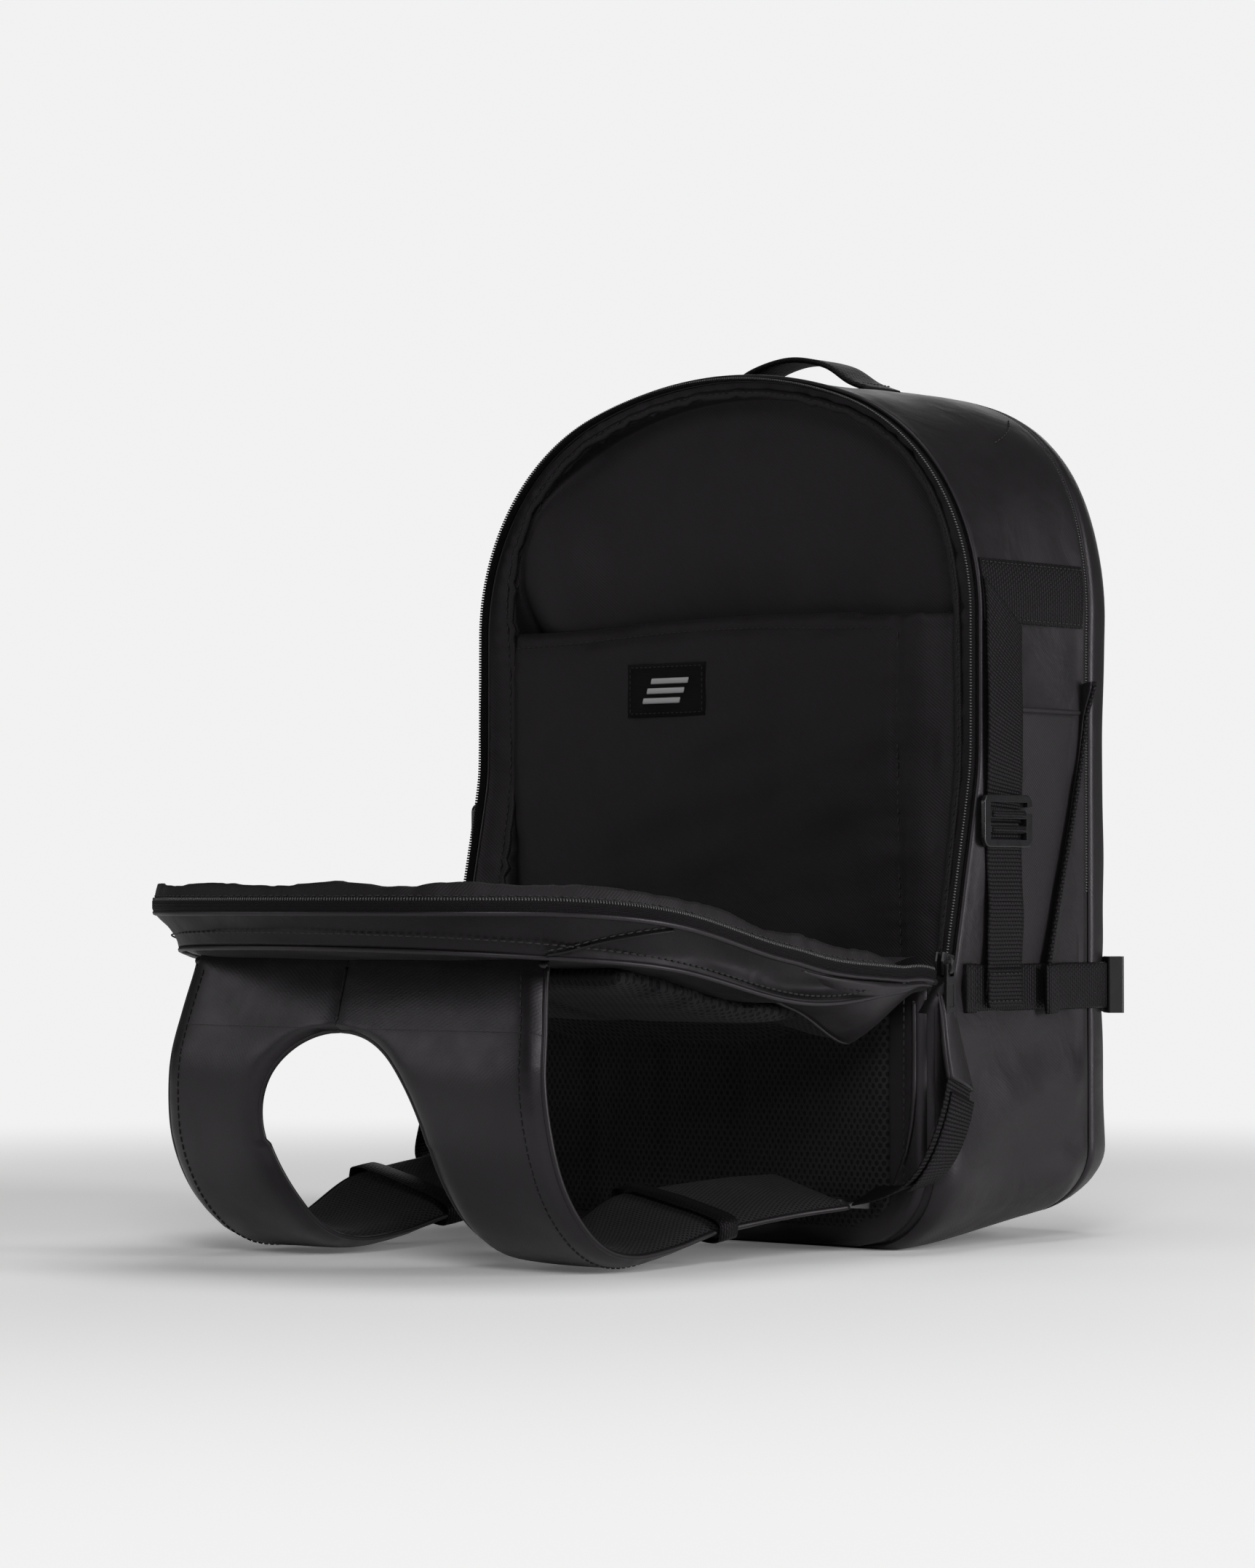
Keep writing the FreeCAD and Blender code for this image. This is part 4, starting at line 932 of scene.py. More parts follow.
def compartment():
    """The lining in one cloth: wall rows from the rim to the divider, then the divider's face."""
    wall_rows, depth = 34, 60
    shares = [0.0, 0.05, 0.1, 0.14, 0.17, 0.2, 0.26, 0.5, 0.75, 0.9, 0.97, 1.0]
    insets = [1.6, 5, 10, 14, 16.5, 17.5, 18.0, 18.4, 18.8, 19.6, 20.8, 22.5]
    rows = []
    for level, inset in resampled(np.stack([np.array(shares) * depth, insets], axis=1), wall_rows):
        loop = lining_loop(inset)
        rows.append(at_y(loop, lining_y(loop, level / depth)))
    edge = rows[-1]
    for t in np.linspace(0, 0.98, 34)[1:]:
        inner = shrunk(edge, (0, 215.0), t)
        to_divider = (divider_y(inner[:, 0], inner[:, 2]) - edge[:, 1]) * smooth(0, 0.5, t)
        inner[:, 1] = edge[:, 1] + to_divider - 5 * (1 - np.exp(-t / 0.2))
        rows.append(inner)
    grid = np.array(rows)
    along = distances(ring(0))[None, :]
    row = np.arange(len(rows))[:, None]
    level = row / wall_rows * depth
    tight = pleats(along, 10.5, 5)
    loose = pleats(along + 4, 27, 8)
    flange = hill(level, 8, 5)
    wall = hill(level, 20, 9)
    spread = smooth(34, 42, row) * np.exp(-np.maximum(row - 34, 0) / 3.5)
    facing = outward(ring(20))
    grid[..., 1] += 1.7 * flange * tight + 1.9 * wall * loose + 1.6 * spread * loose
    inwards = 1.9 * wall * (1 + tight) + 1.2 * flange * loose
    grid -= xyz(facing[:, 0], 0, facing[:, 1]) * inwards[..., None]
    grid[..., 1] += smooth(34, 40, row) * (1.5 * ripples(grid, 95, 41) + 0.45 * ripples(grid, 34, 42))
    lining = sheet("compartment_lining", grid, LINING, closed=True, fan=True, flip=True, flat=(0, 2))
    belong(lining, "shell", "lining", "divider_padding", "divider_board")


def compartment_binding():
    """The bound seam that runs round inside the rim, with its stitching."""
    share = 0.175
    loop = lining_loop(17.2)
    wave = pleats(distances(ring(0)), 7, 12)
    path = at_y(loop - outward(loop) * (0.9 * wave)[:, None], lining_y(loop, share) - 1.6 + 1.0 * wave)
    roll = tube("compartment_binding", path, 1.9 + 0.45 * wave, BINDING, closed=True, squash=(1.5, 1.0))
    belong(roll, "shell", "binding", "rim_binding")
    line = lining_loop(16.0)
    line = line[line[:, 1] > 150]
    belong(stitches("binding_stitch", at_y(line, lining_y(line, share) - 3.6), 4.6), "shell", "binding")


def racket_pocket():
    """The padded pocket, open at the top, with a seam down its right side and a curved hem."""
    left, right = -161.0, 156.0
    front, back = low("racket_pocket")[1] + 1.2, low("racket_pocket")[1] + 8.2
    top = high("racket_pocket")[2] + 11
    rows = []
    for z in np.linspace(12, top, 70):
        xs = np.linspace(left, right, 70)
        bow = 1.5 * np.sin((xs - left) / (right - left) * math.pi)
        curl = 9 * smooth(128, 156, xs)
        height = z + smooth(top - 60, top, z) * (2.5 * np.cos(xs / 52) - 1.5)
        face = xyz(xs, front - bow * 0.6 + curl, height)
        rear = xyz(xs, back + curl, height)[::-1]
        rows.append(np.vstack([face, rear]))

    def hem_z(x):
        return top - 13 + 2.5 * np.cos(x / 52)

    def seam_x(z):
        return 121 + 1.5 * np.sin(z / 60)

    def sewn(points):
        x, y, z = points.T
        points = groove(points, np.abs(z - hem_z(x)), 2.6, 1.3, (0, 1, 0))
        seam = np.abs(x - seam_x(z))
        points = groove(points, seam, 3.2, 2.6, (0, 1, 0))
        waves = 1.1 * ripples(points, 80, 51) + 0.4 * ripples(points, 27, 52)
        pucker = np.exp(-seam / 9) * pleats(z, 12, 55) * 0.9
        gather = np.exp(-np.abs(x - left - 4) / 9) * pleats(z, 16, 57) * 1.0
        facing = points[:, 1] < front + 3
        return points + xyz(0, facing * (waves + pucker + gather), 0)

    pad("racket_pocket_pad", rows, POCKET, "shell", "lining", "racket_pocket", voxel=4.0, cap=2.6,
        after=sewn)
    zs = np.linspace(330, 20, 80)
    belong(stitches("pocket_seam", xyz(seam_x(zs), front - 1.2, zs), 5.0, 3.4), "shell", "lining")
    xs = np.linspace(-153, 116, 70)
    belong(stitches("pocket_hem", xyz(xs, front - 2.6, hem_z(xs)), 4.0, 2.6, 0.25), "shell", "lining")
    label(front)


def label(front):
    """The woven patch on the racket pocket, stitched on, with three plain slanted bars."""
    x0, _, z0 = low("pocket_label")
    x1, _, z1 = high("pocket_label")
    gx, gz = np.meshgrid(np.linspace(x0, x1, 24), np.linspace(z0, z1, 14))
    gy = front - 4.4 + 0.25 * ripples(np.stack([gx, gz], axis=-1), 22, 61)
    belong(sheet("label_patch", xyz(gx, gy, gz), PATCH, thick=0.8), "shell", "label", "pocket_label")
    corners = [(x0 + 2, z0 + 2), (x1 - 2, z0 + 2), (x1 - 2, z1 - 2), (x0 + 2, z1 - 2), (x0 + 2, z0 + 2)]
    border = at_y(polyline(corners, 14), front - 4.7)
    belong(stitches("label_stitch", border, 3.2, 2.0, 0.3), "shell", "label")
    bars = []
    for k in range(3):
        start = (x0 + x1) / 2 - 13 + 3 - 3 * k
        bars.append(xyz(np.arange(start, start + 26, 0.7), front - 4.9, (z0 + z1) / 2 + 5 - 5.5 * k))
    centres = np.vstack(bars)
    lean = np.broadcast_to(np.array([[0.25, 0, 1.0]]), centres.shape)
    belong(spindles("label_mark", centres, lean, 3.4, 0.42, PALE_THREAD), "shell", "label")


def rim_zip():
    """Both sides of the open racket zip: tape, teeth and the hem beside the flap's tape."""
    lean = math.hypot(1, (RIM_Y - FOOT_Y) / (BEND_Z - FOLD_Z))

    def line(forward, inset=0.9, foot=148, step=4.0):
        loop = arch(inset, foot, step)
        stretch = 1 + (lean - 1) * smooth(BEND_Z + 8, BEND_Z - 8, loop[:, 1])
        return at_y(loop, rim_y(loop[:, 1]) - forward * stretch)

    shell_tape = [line(f) for f in np.linspace(-0.5, TAPE - 0.4, 4)]
    belong(sheet("rim_zip_tape", shell_tape, TAPE_CLOTH, thick=0.9), "shell", "zip", "rim_zip_chain")
    belong(teeth("rim_zip_teeth", line(TAPE + 0.1, 0.8, 150, 2.5), (0, -1, 0)), "shell", "zip")
    flap_tape = opened([line(f, foot=141) for f in np.linspace(2 * TAPE + 2.2, TAPE + 2, 4)])
    belong(sheet("flap_zip_tape", flap_tape, TAPE_CLOTH, thick=0.9), "flap", "zip", "flap_zip_chain")
    belong(teeth("flap_zip_teeth", opened(line(TAPE + 1.5, 0.8, 142, 2.5)), (0, 0, 1)), "flap", "zip")
    hem = opened(line(2 * TAPE + 2.6, 0.6, 141))
    belong(tube("flap_hem", hem, 1.6, LEATHER, up=(0, 0.1, 1)), "flap", SKIN)


# ---------------------------------------------------------------- flap

def flap_side():
    """The flap's side wall with its slack folds, the darts at its hinge corners and its outer seam."""
    foot = FOLD_Z + 2
    loop = arch(0.0, foot, 4.0)
    normals = outward(loop, closed=False)
    along = distances(loop)
    start = rim_y(loop[:, 1]) - FLAP_EDGE
    end = flap_face_y(loop[:, 1]) + 0.4
    depth = np.maximum(start - end, 0)
    rows = []
    for share in np.linspace(0, 1, 14):
        y = start + (end - start) * share
        hollow = -0.16 * depth * math.sin(math.pi * share) ** 1.2
        sweep = np.stack([along * 0.4, y * 1.5], axis=1)
        folds = (2.4 * ripples(sweep, 44, 71) + 0.8 * ripples(sweep, 17, 72)) * math.sin(math.pi * share)
        rows.append(at_y(loop + normals * ((hollow + folds) * smooth(0, 12, depth))[:, None], y))
    cloth = opened(rows)
    # The wall and its darts use the much darker shaded cloth: painted shade.
    belong(sheet("flap_side", cloth, SHADED_SKIN, thick=1.6), "flap", SKIN, "flap_gusset")
    dart_marks = ((2, 51), (5, 56), (8, 61), (11, 65), (13, 68))  # rows and columns of the cloth
    for side, sign in SIDES:
        columns = cloth[:, ::sign]
        dart = spline([columns[mark] for mark in dart_marks], 40)
        away = unit(dart - (0, -200, 130)) * (1, 1, 0) * 1.5
        belong(tube(f"flap_dart_{side}", dart + away, 0.8, SHADED_SKIN), "flap", SKIN)
        belong(stitches(f"flap_dart_stitch_{side}", dart + away * 1.3 + (0, 0, 2.2)), "flap", SKIN)
    seam = opened(at_y(arch(0.9, foot, 4.0), end - 0.8))
    belong(tube("flap_seam", seam, 1.4, LEATHER, up=(0, 0.1, 1)), "flap", SKIN)
    tacked = opened(at_y(arch(-0.4, 160, 4.0), flap_face_y(arch(0, 160, 4.0)[:, 1]) + 3.6))
    belong(stitches("flap_seam_stitch", tacked), "flap", SKIN)


def flap_plate(name, inset, offset, crown, seed, paint, slot, node, flip=False):
    """One broad face of the flap, domed by crown from its edge."""
    outline = arch(inset, 150)
    rows = []
    for x, z in outline[: len(outline) // 2 + 1]:
        xs = np.linspace(-x, x, 56)
        edge = np.minimum(np.minimum(x - np.abs(xs), z - 146), CROWN - inset - z)
        rows.append(xyz(xs, flap_face_y(z) + offset + crown * plump(edge, 18), z))
    grid = np.array(rows)
    grid[..., 1] += 0.8 * ripples(grid, 60, seed) * np.sign(crown)
    belong(sheet(name, opened(grid), paint, flip=flip, flat=(0, 1)), "flap", slot, node)


def flap_binding():
    """The puckered roll of cloth that binds the flap's lining to its edge."""
    loop = arch(3.4, 143, 3.0)
    facing = outward(loop, closed=False)
    s = distances(loop)
    narrow = smooth(136, 205, loop[:, 1])
    wave = 0.6 * pleats(s, 11, 81) + 0.5 * ripples(s[:, None], 14, 83)
    slow = ripples(s[:, None], 60, 82)

    def row(out, share):
        rise = rim_y(loop[:, 1]) - FLAP_EDGE + 1 + (13 + 0.4 * wave + 1.0 * slow) * share * narrow
        return at_y(loop + facing * out[:, None], rise)

    rows = []
    for share in np.linspace(0, 1, 9):
        fat = 2.1 * math.sin(math.pi * min(1, 0.25 + 0.75 * share)) + 0.5 * wave * share
        rows.append(row(fat, share))
    rows += [row(-(2.0 + 0.4 * wave), share) for share in np.linspace(1, 0, 5)]
    belong(sheet("flap_binding_roll", opened(rows), BINDING), "flap", "binding", "flap_binding")
    line = arch(3.4 - 1.9, 190, 3.0)
    dashes = opened(at_y(line, rim_y(line[:, 1]) - FLAP_EDGE + 8.2))
    belong(stitches("flap_binding_stitch", dashes, 4.4, radius=0.4), "flap", "binding")


def back_mesh():
    """The channelled mesh pad on the flap's outside, which lies against the back."""
    rows = []
    for z in np.linspace(196, 364, 40):
        thick = 6.5 * smooth(196, 214, z) ** 0.5 + 1.2
        rows.append(slab_row(high("back_pad")[0], flap_face_y(z) - thick, flap_face_y(z) - 0.8, z))
    pad("back_mesh", opened(rows), MESH, "flap", "mesh", "back_pad", cap=3.5,
        after=channels(5, 2.6, (0, 0, 1)), flat=(0, 1))


FOLD_START, FOLD_END = (0, -99, 106), (0, -152, 142)


def fold_rows(xs):
    """The slack cloth between toe and flap at each x: (y, z) lines that change from middle to border."""
    steps = np.arange(34)
    middle = spline([(-100.5, 104), (-103, 108), (-111, 115), (-124, 124), (-144, 132), (-170, 136.5),
                     (-204, 139.5)], 34)
    border = spline([(-97.5, 136), (-104, 133), (-118, 123), (-135, 114.5), (-152, 117), (-177, 127),
                     (-204, 139)], 34)
    grid = np.zeros((34, len(xs), 3))
    for k, x in enumerate(xs):
        path = middle + (border - middle) * float(smooth(60, 150, abs(x)))
        grid[:, k] = xyz(x, path[:, 0], path[:, 1])
    bulge = 1.5 * ripples(grid * (0.6, 1, 1), 42, 91)
    ends = smooth(0, 8, steps) * smooth(33, 26, steps)
    grid[..., 2] -= bulge * ends[:, None]
    return grid


def fold():
    """The padded cloth that hangs slack where the flap's face folds away from the toe, and its ears."""
    link = ("shell", "flap", FOLD_START, FOLD_END)
    cloth = sheet("fold_mesh", fold_rows(np.linspace(-151, 151, 64)), MESH, flip=True, flat=(0, 1))
    bridge(cloth, *link, "mesh")
    rises = np.linspace(0, 1, 14)
    tuck = smooth(22, 33, np.arange(34))[:, None]
    for side, sign in SIDES:
        foot = fold_rows(np.array([150.0 * sign]))[:, 0]
        shut = np.maximum(FOLD_Z - (foot[:, 1] - FOLD_Y), 146)
        head = opened(xyz(175.8 * sign, rim_y(shut) - 2 * TAPE - 4.0, shut))
        head[:, 1] = foot[:, 1]
        ear = foot[:, None] + (head - foot)[:, None] * rises[None, :, None]
        belly = np.sin(np.pi * rises)[None, :] * np.minimum(1, (head[:, 2] - foot[:, 2]) / 30)[:, None]
        belly = belly * (1 - tuck)
        ear[..., 0] -= sign * 2.2 * tuck * rises
        ear[..., 0] += sign * (4.5 + 1.4 * ripples(ear * (0, 1, 1.4), 34, 93)) * belly
        ear[..., 2] -= 2.0 * belly
        ear += (0, -0.6, -0.7)
        bridge(sheet(f"fold_ear_{side}", ear, LEATHER, flip=sign > 0, thick=1.4), *link, SKIN)
        seam = ear[:, 0] + (0, -0.6, -0.8)
        bridge(tube(f"fold_seam_{side}", seam, 1.1, LEATHER, up=(1, 0, 0)), *link, SKIN)
        line = ear[2:-2, 2] + (sign * 0.6, 0, -0.6)
        bridge(stitches(f"fold_stitch_{side}", line), *link, SKIN)


# ---------------------------------------------------------------- harness

HANG = [(-340, 152), (-347, 126), (-353, 96), (-349, 62), (-335, 35), (-312, 15.5), (-285, 8.3),
        (-250, 10.5), (-216, 16.5), (-180, 20.5), (-150, 23), (-125, 25)]  # (y, z) of the hanging strap
BEND_START, BEND_END = (0, -330, 29), (0, -270, 6)
NECK_TOP = 34.0  # length of the yoke above the neck hole
STRAP_COLUMNS = 28
STITCH_INSET = 11  # from the strap's outer edge to its stitching


def strap_edges(s, sign):
    """Outer and inner |x| of the yoke and strap at each length s."""
    outer = np.interp(s, [0, 40, 90, 130, 182, 252, 318, 344], [120, 127, 131, 131, 129, 126, 134, 143])
    inner = np.interp(s, [88, 130, 182, 252, 318, 344], [57, 55, 56, 58, 76, 96])
    radius = 56.0 + 3 * (sign < 0)
    circle = np.sqrt(np.maximum(radius**2 - (np.clip(NECK_TOP + radius - s, 0, radius)) ** 2, 0))
    inner = np.where(s < NECK_TOP + radius, circle, inner)
    inner = np.where(s < NECK_TOP, 0.0, inner)
    even = np.linspace(0, s[-1], 150)
    outer = np.interp(s, even, averaged(np.interp(even, s, outer), 9))
    return outer, inner - 9 * sign * smooth(130, 50, s)


def strap_form(sign):
    """Rows of the padded half from the flap's seam down: lengths, widths, the form and its direction."""
    dense = spline(HANG, 800)
    length = distances(dense)
    neck_steps = NECK_TOP + 15 * np.linspace(0, 1, 13) ** 1.5
    s = np.unique(np.concatenate([np.linspace(0, length[-1], 150), neck_steps]))
    path, along = [np.stack([np.interp(s, length, line[:, k]) for k in (0, 1)], axis=1)
                   for line in (dense, tangents(dense))]
    outer, inner = strap_edges(s, sign)
    across = outer - inner
    t = np.linspace(0, 1, STRAP_COLUMNS)
    x = inner[:, None] + across[:, None] * t[None, :]
    gap = np.minimum(across[:, None] * np.minimum(t, 1 - t)[None, :], 30)
    from_start, from_end = s[:, None], (s[-1] - s)[:, None]
    edge = np.minimum(gap, np.minimum(from_start + 9, from_end + 0.2))
    centre_seam = (s < NECK_TOP)[:, None] * (t[None, :] < 0.5)
    edge = np.where(centre_seam, np.minimum(across[:, None] * t[None, :] + 6.0, edge + 30), edge)
    puff = 5.4 * plump(edge, 4.2) + 0.4
    far_side = 1 - t if sign > 0 else t
    raised = (14 + 4 * (sign < 0)) * smooth(185, 255, s)[:, None] * far_side[None, :]
    flare = 3.0 * np.sin(np.pi * np.clip(s / 180, 0, 1))[:, None] * (x / 130 - 0.5)
    centre = xyz(x * sign, path[:, None, 0] + flare, path[:, None, 1] + raised)
    facing = xyz(0, along[:, 1], -along[:, 0])[:, None]
    creases = 0.7 * ripples(centre, 85, 101 + sign) + 0.12 * ripples(centre, 30, 103)
    pull = np.exp(-np.minimum(gap, 99) / 7) * pleats(s, 15, 105 + sign)[:, None] * 0.35
    outside = centre + facing * (puff + (creases + pull) * (puff > 2))[..., None]
    inside = centre - facing * (puff * 0.85)[..., None]
    for part in (outside, inside):
        part[..., 2] = np.maximum(part[..., 2], 0.4)
    return s, across, centre, outside, inside, facing


def harness_half(side, sign):
    """Half of the yoke with its shoulder strap: leather outside, mesh inside, cords and stitching."""
    s, across, centre, outside, inside, facing = strap_form(sign)
    nodes = [f"shoulder_strap_{side}", f"strap_end_{side}"] + (["harness_yoke"] if sign > 0 else [])
    link = ("harness", f"strap_{side}", BEND_START, BEND_END)
    tuck = np.array([0, 3.0, 7.0])  # into the flap's seam
    skin = np.vstack([outside[:1] + tuck, outside])
    bridge(sheet(f"harness_skin_{side}", skin, STRAP_LEATHER, flip=sign < 0), *link, SKIN, *nodes)
    mesh = np.vstack([inside[:1] + tuck, inside])
    bridge(sheet(f"harness_mesh_{side}", mesh, STRAP_MESH, flip=sign > 0), *link, "mesh")
    bridge(tube(f"harness_edge_{side}", centre[:, -1], 1.5, LEATHER, up=(1, 0, 0)), *link, SKIN)
    neck = centre[int(np.argmax(s > NECK_TOP - TINY)):, 0]
    bridge(tube(f"neck_edge_{side}", neck, 1.3, LEATHER, up=(0.05, 1, 0)), *link, SKIN)
    column = (STRAP_COLUMNS - 1) * (1 - STITCH_INSET / across)
    before = column.astype(int)
    share = (column - before)[:, None]
    rows = np.arange(len(s))
    seam = outside[rows, before] * (1 - share) + outside[rows, before + 1] * share
    bridge(stitches(f"harness_stitch_{side}", seam[2:-3], lift=facing[2:-3, 0] * 0.2), *link, SKIN)
    if sign > 0:
        middle = outside[1:int(np.argmax(s > NECK_TOP - 2)), 0]
        belong(tube("yoke_centre_seam", middle, 0.9, LEATHER, up=(1, 0, 0)), "harness", SKIN)
    return centre, s, facing


def harness():
    for side, sign in SIDES:
        keeper(side, *harness_half(side, sign))
    top = xyz(np.linspace(-121, 121, 50), -340.5, 153.2)
    belong(tube("yoke_seam", top, 2.0, LEATHER, up=(0, 1, 0)), "flap", SKIN)
    belong(stitches("yoke_seam_stitch", top[2:-2] + (0, -2.6, -3.0)), "harness", SKIN)


def keeper(side, centre, s, facing):
    """Webbing loop that wraps the strap."""
    k = int(np.argmin(np.abs(s - 257)))
    across = centre[k, -1] - centre[k, 0]
    length = np.linalg.norm(across)
    across = across / length
    up = -facing[k, 0]
    up = unit(up - across * (up @ across))
    along = np.cross(across, up)
    mid = (centre[k, 0] + centre[k, -1]) / 2
    turns = np.linspace(0, 2 * math.pi, 44, endpoint=False)
    a, b, power = length / 2 + 2.2, 7.2, 0.42
    ring_x = np.sign(np.cos(turns)) * np.abs(np.cos(turns)) ** power * a
    ring_z = np.sign(np.sin(turns)) * np.abs(np.sin(turns)) ** power * b
    loop = mid + ring_x[:, None] * across + ring_z[:, None] * up
    loop[:, 2] = np.maximum(loop[:, 2], 1.0)
    section = ((-7, 0.0), (-7, 0.9), (0, 1.1), (7, 0.9), (7, 0.0), (0, -0.1), (-7, 0.0))
    grid = [loop + along * shift + unit(loop - mid) * grow for shift, grow in section]
    piece = sheet(f"strap_keeper_loop_{side}", grid, WEBBING, closed=True)
    belong(piece, f"strap_{side}", "webbing", f"strap_keeper_{side}")


# ---------------------------------------------------------------- webbing and pockets on the shell

def side_x(y, z):
    """X of the side skin's right face, for laying webbing on it."""
    rise = np.maximum(np.asarray(z, float) - SHOULDER_Z, 0)
    x = SHOULDER_X + np.sqrt(SHOULDER_RADIUS**2 - rise**2)
    return x + fullness(x, y, z)[0]


class Side:
    """One side of the shell. Its pieces are drawn on the right, and mirrored on the left."""

    def __init__(self, name, sign):
        self.name, self.sign = name, sign

    def mirrored(self, points):
        return np.asarray(points, float) * (self.sign, 1, 1)

    def place(self, obj, slot, node="", body="shell"):
        nodes = [f"{node}_{self.name}"] if node else []
        belong(obj, body.format(self.name), slot, *nodes)

    def sheet(self, name, grid, paint, slot, node="", body="shell", turned=False, **settings):
        flip = (self.sign < 0) != turned
        obj = sheet(f"{name}_{self.name}", self.mirrored(grid), paint, flip=flip, **settings)
        self.place(obj, slot, node, body)

    def web(self, name, path, wide, thick, node="", body="shell", across=(0, 0, 1)):
        path, across = self.mirrored(path), self.mirrored(across)
        obj = band(f"{name}_{self.name}", path, across, wide, thick, WEBBING, flip=self.sign < 0)
        self.place(obj, "webbing", node, body)

    def cord(self, name, path, radius, paint, slot=SKIN):
        self.place(tube(f"{name}_{self.name}", self.mirrored(path), radius, paint, up=(1, 0, 0)), slot)

    def seam(self, name, path, pitch, length, radius=0.3):
        obj = stitches(f"{name}_{self.name}", self.mirrored(path), pitch, length, radius)
        self.place(obj, "webbing")


def side_band(side):
    """The broad band across the upper side, stitched along both edges."""
    node_low, node_high = low("side_band_right"), high("side_band_right")
    ys = np.linspace(node_low[1] - 3, node_high[1], 40)
    zs = np.linspace(node_low[2], node_high[2], 12)
    gy, gz = np.meshgrid(ys, zs, indexing="ij")
    gx = side_x(gy, gz) + 3.2 + 0.5 * ripples(np.stack([gy, gz], axis=-1), 50, 111)
    side.sheet("side_band_web", xyz(gx, gy, gz), WEBBING, "webbing", "side_band", turned=True, thick=1.4)
    for edge, z in (("low", node_low[2] + 2), ("high", node_high[2] - 2)):
        line = xyz(side_x(ys, np.full(40, z)) + 3.7, ys, z)
        side.seam(f"side_band_{edge}", line, 3.6, 2.4)


def hanging_strap(side):
    """The strap that hangs down the side, in two halves with the hook buckle's wraps between them."""
    y0, y1 = low("side_strap_lower_right")[1], high("side_strap_lower_right")[1]
    ys = np.linspace(y0, y1, 12)

    def upright(name, z0, z1, lift, seed, node="", slant=0.0, rows=40, sag=0.0):
        grid = []
        for t in np.linspace(0, 1, rows):
            tops = z1 - slant * (ys - y0) / (y1 - y0)
            z = z0 + (tops - z0) * t
            weave = 0.35 * ripples(np.stack([ys, z], axis=1), 40, seed)
            grid.append(xyz(side_x(ys, z) + lift + sag * math.sin(math.pi * t) + weave, ys, z))
        side.sheet(name, grid, WEBBING, "webbing", node, thick=1.5)

    upright("hanging_web", 226, 357, 4.6, 5, "side_strap_upper", slant=26, sag=1.2)
    upright("tail_web", 134, 222, 4.2, 6, "side_strap_lower", sag=1.4)
    upright("tail_hem", 128, 149, 5.6, 7, rows=8)
    for z in (131.5, 146):
        line = xyz(side_x(0, z) + 6.1, np.linspace(y0 + 2, y1 - 2, 12), z)
        side.seam(f"tail_hem_stitch_{int(z)}", line, 3.4, 2.3)
    hook_x, _, hook_z = (low("hook_buckle_right") + high("hook_buckle_right")) / 2
    turns = np.linspace(-math.pi * 0.5, math.pi * 0.5, 12)[:, None]
    ys = np.linspace(y0 + 0.5, y1 - 0.5, 10)
    for name, z, radius in (("upper", hook_z + 3.6, 2.2), ("lower", hook_z - 4.5, 2.0)):
        wrap = xyz(hook_x - 0.4 + (radius + 0.6) * np.cos(turns), ys, z + radius * 1.1 * np.sin(turns))
        side.sheet(f"hook_wrap_{name}", wrap, WEBBING, "webbing", body="hook_buckle_{}", thick=1.2)


def compression(side):
    """The waist strap, its folded tail, and the webbing through both halves of the buckle."""
    bottom, top = low("compression_strap_right")[2], high("compression_strap_right")[2]
    z, wide = (bottom + top) / 2, top - bottom
    radius = OUTER_Y - SEAM_Y

    def corner(turn, lift):
        reach = radius + lift
        return (HALF - radius + reach * math.cos(turn), SEAM_Y + reach * math.sin(turn), z)

    straight = [(HALF + 1.2 + 0.5 * math.sin(y / 16), y, z) for y in np.linspace(-71, SEAM_Y, 40)]
    bend = [corner(t, 1.4 + 2.6 * smooth(0.1, 0.42, t)) for t in np.linspace(0.03, 0.44, 12)]
    path = resampled(straight + bend, 70)
    side.web("compression_web", path, wide, 1.5, "compression_strap")
    side.web("compression_hem", path[:6] + (1.3, 0, 0), wide + 1, 1.4)
    tail = [(HALF + 6.4, -2, z - 1.5), (HALF + 5.6, 4, z - 1), (HALF + 3.6, 18, z), (HALF + 3.0, 36, z),
            corner(0.15, 3.2), corner(0.42, 5.0)]
    side.web("compression_tail", spline(tail, 40), wide, 1.4)
    fold_back = [(HALF + 6.6, -2.5, z - 1.5), (HALF + 8.2, -1, z - 1.5), (HALF + 7.6, 8, z - 1)]
    side.web("tail_fold", spline(fold_back, 12), wide + 1.5, 1.3)
    for y in (-66, -62):
        line = xyz(HALF + 3.6, y, z + np.linspace(-wide / 2 + 2, wide / 2 - 2, 8))
        side.seam(f"waist_tack_{abs(y)}", line, 3.0, 2.0)
    wrap = [corner(0.42, 3.6), corner(0.47, 9.5), corner(0.56, 13.2), corner(0.62, 11.0)]
    side.web("buckle_wrap", spline(wrap, 16), wide - 1, 1.3)

    face = OUTER_Y + 5.2
    out = [corner(1.30, 10.5), corner(1.40, 7.5), (118, face + 1, z), (98, face + 0.4, z),
           (66, face + 0.8, z), (40, face + 1.6, z)]
    side.web("front_web", spline(out, 50), wide, 1.5, "front_strap")
    box = [(44, z - 9), (62, z + 9), (62, z - 9), (44, z + 9), (44, z - 9)]
    side.seam("front_web_box", at_y(polyline(box, 10), face + 2.2), 3.2, 2.2)


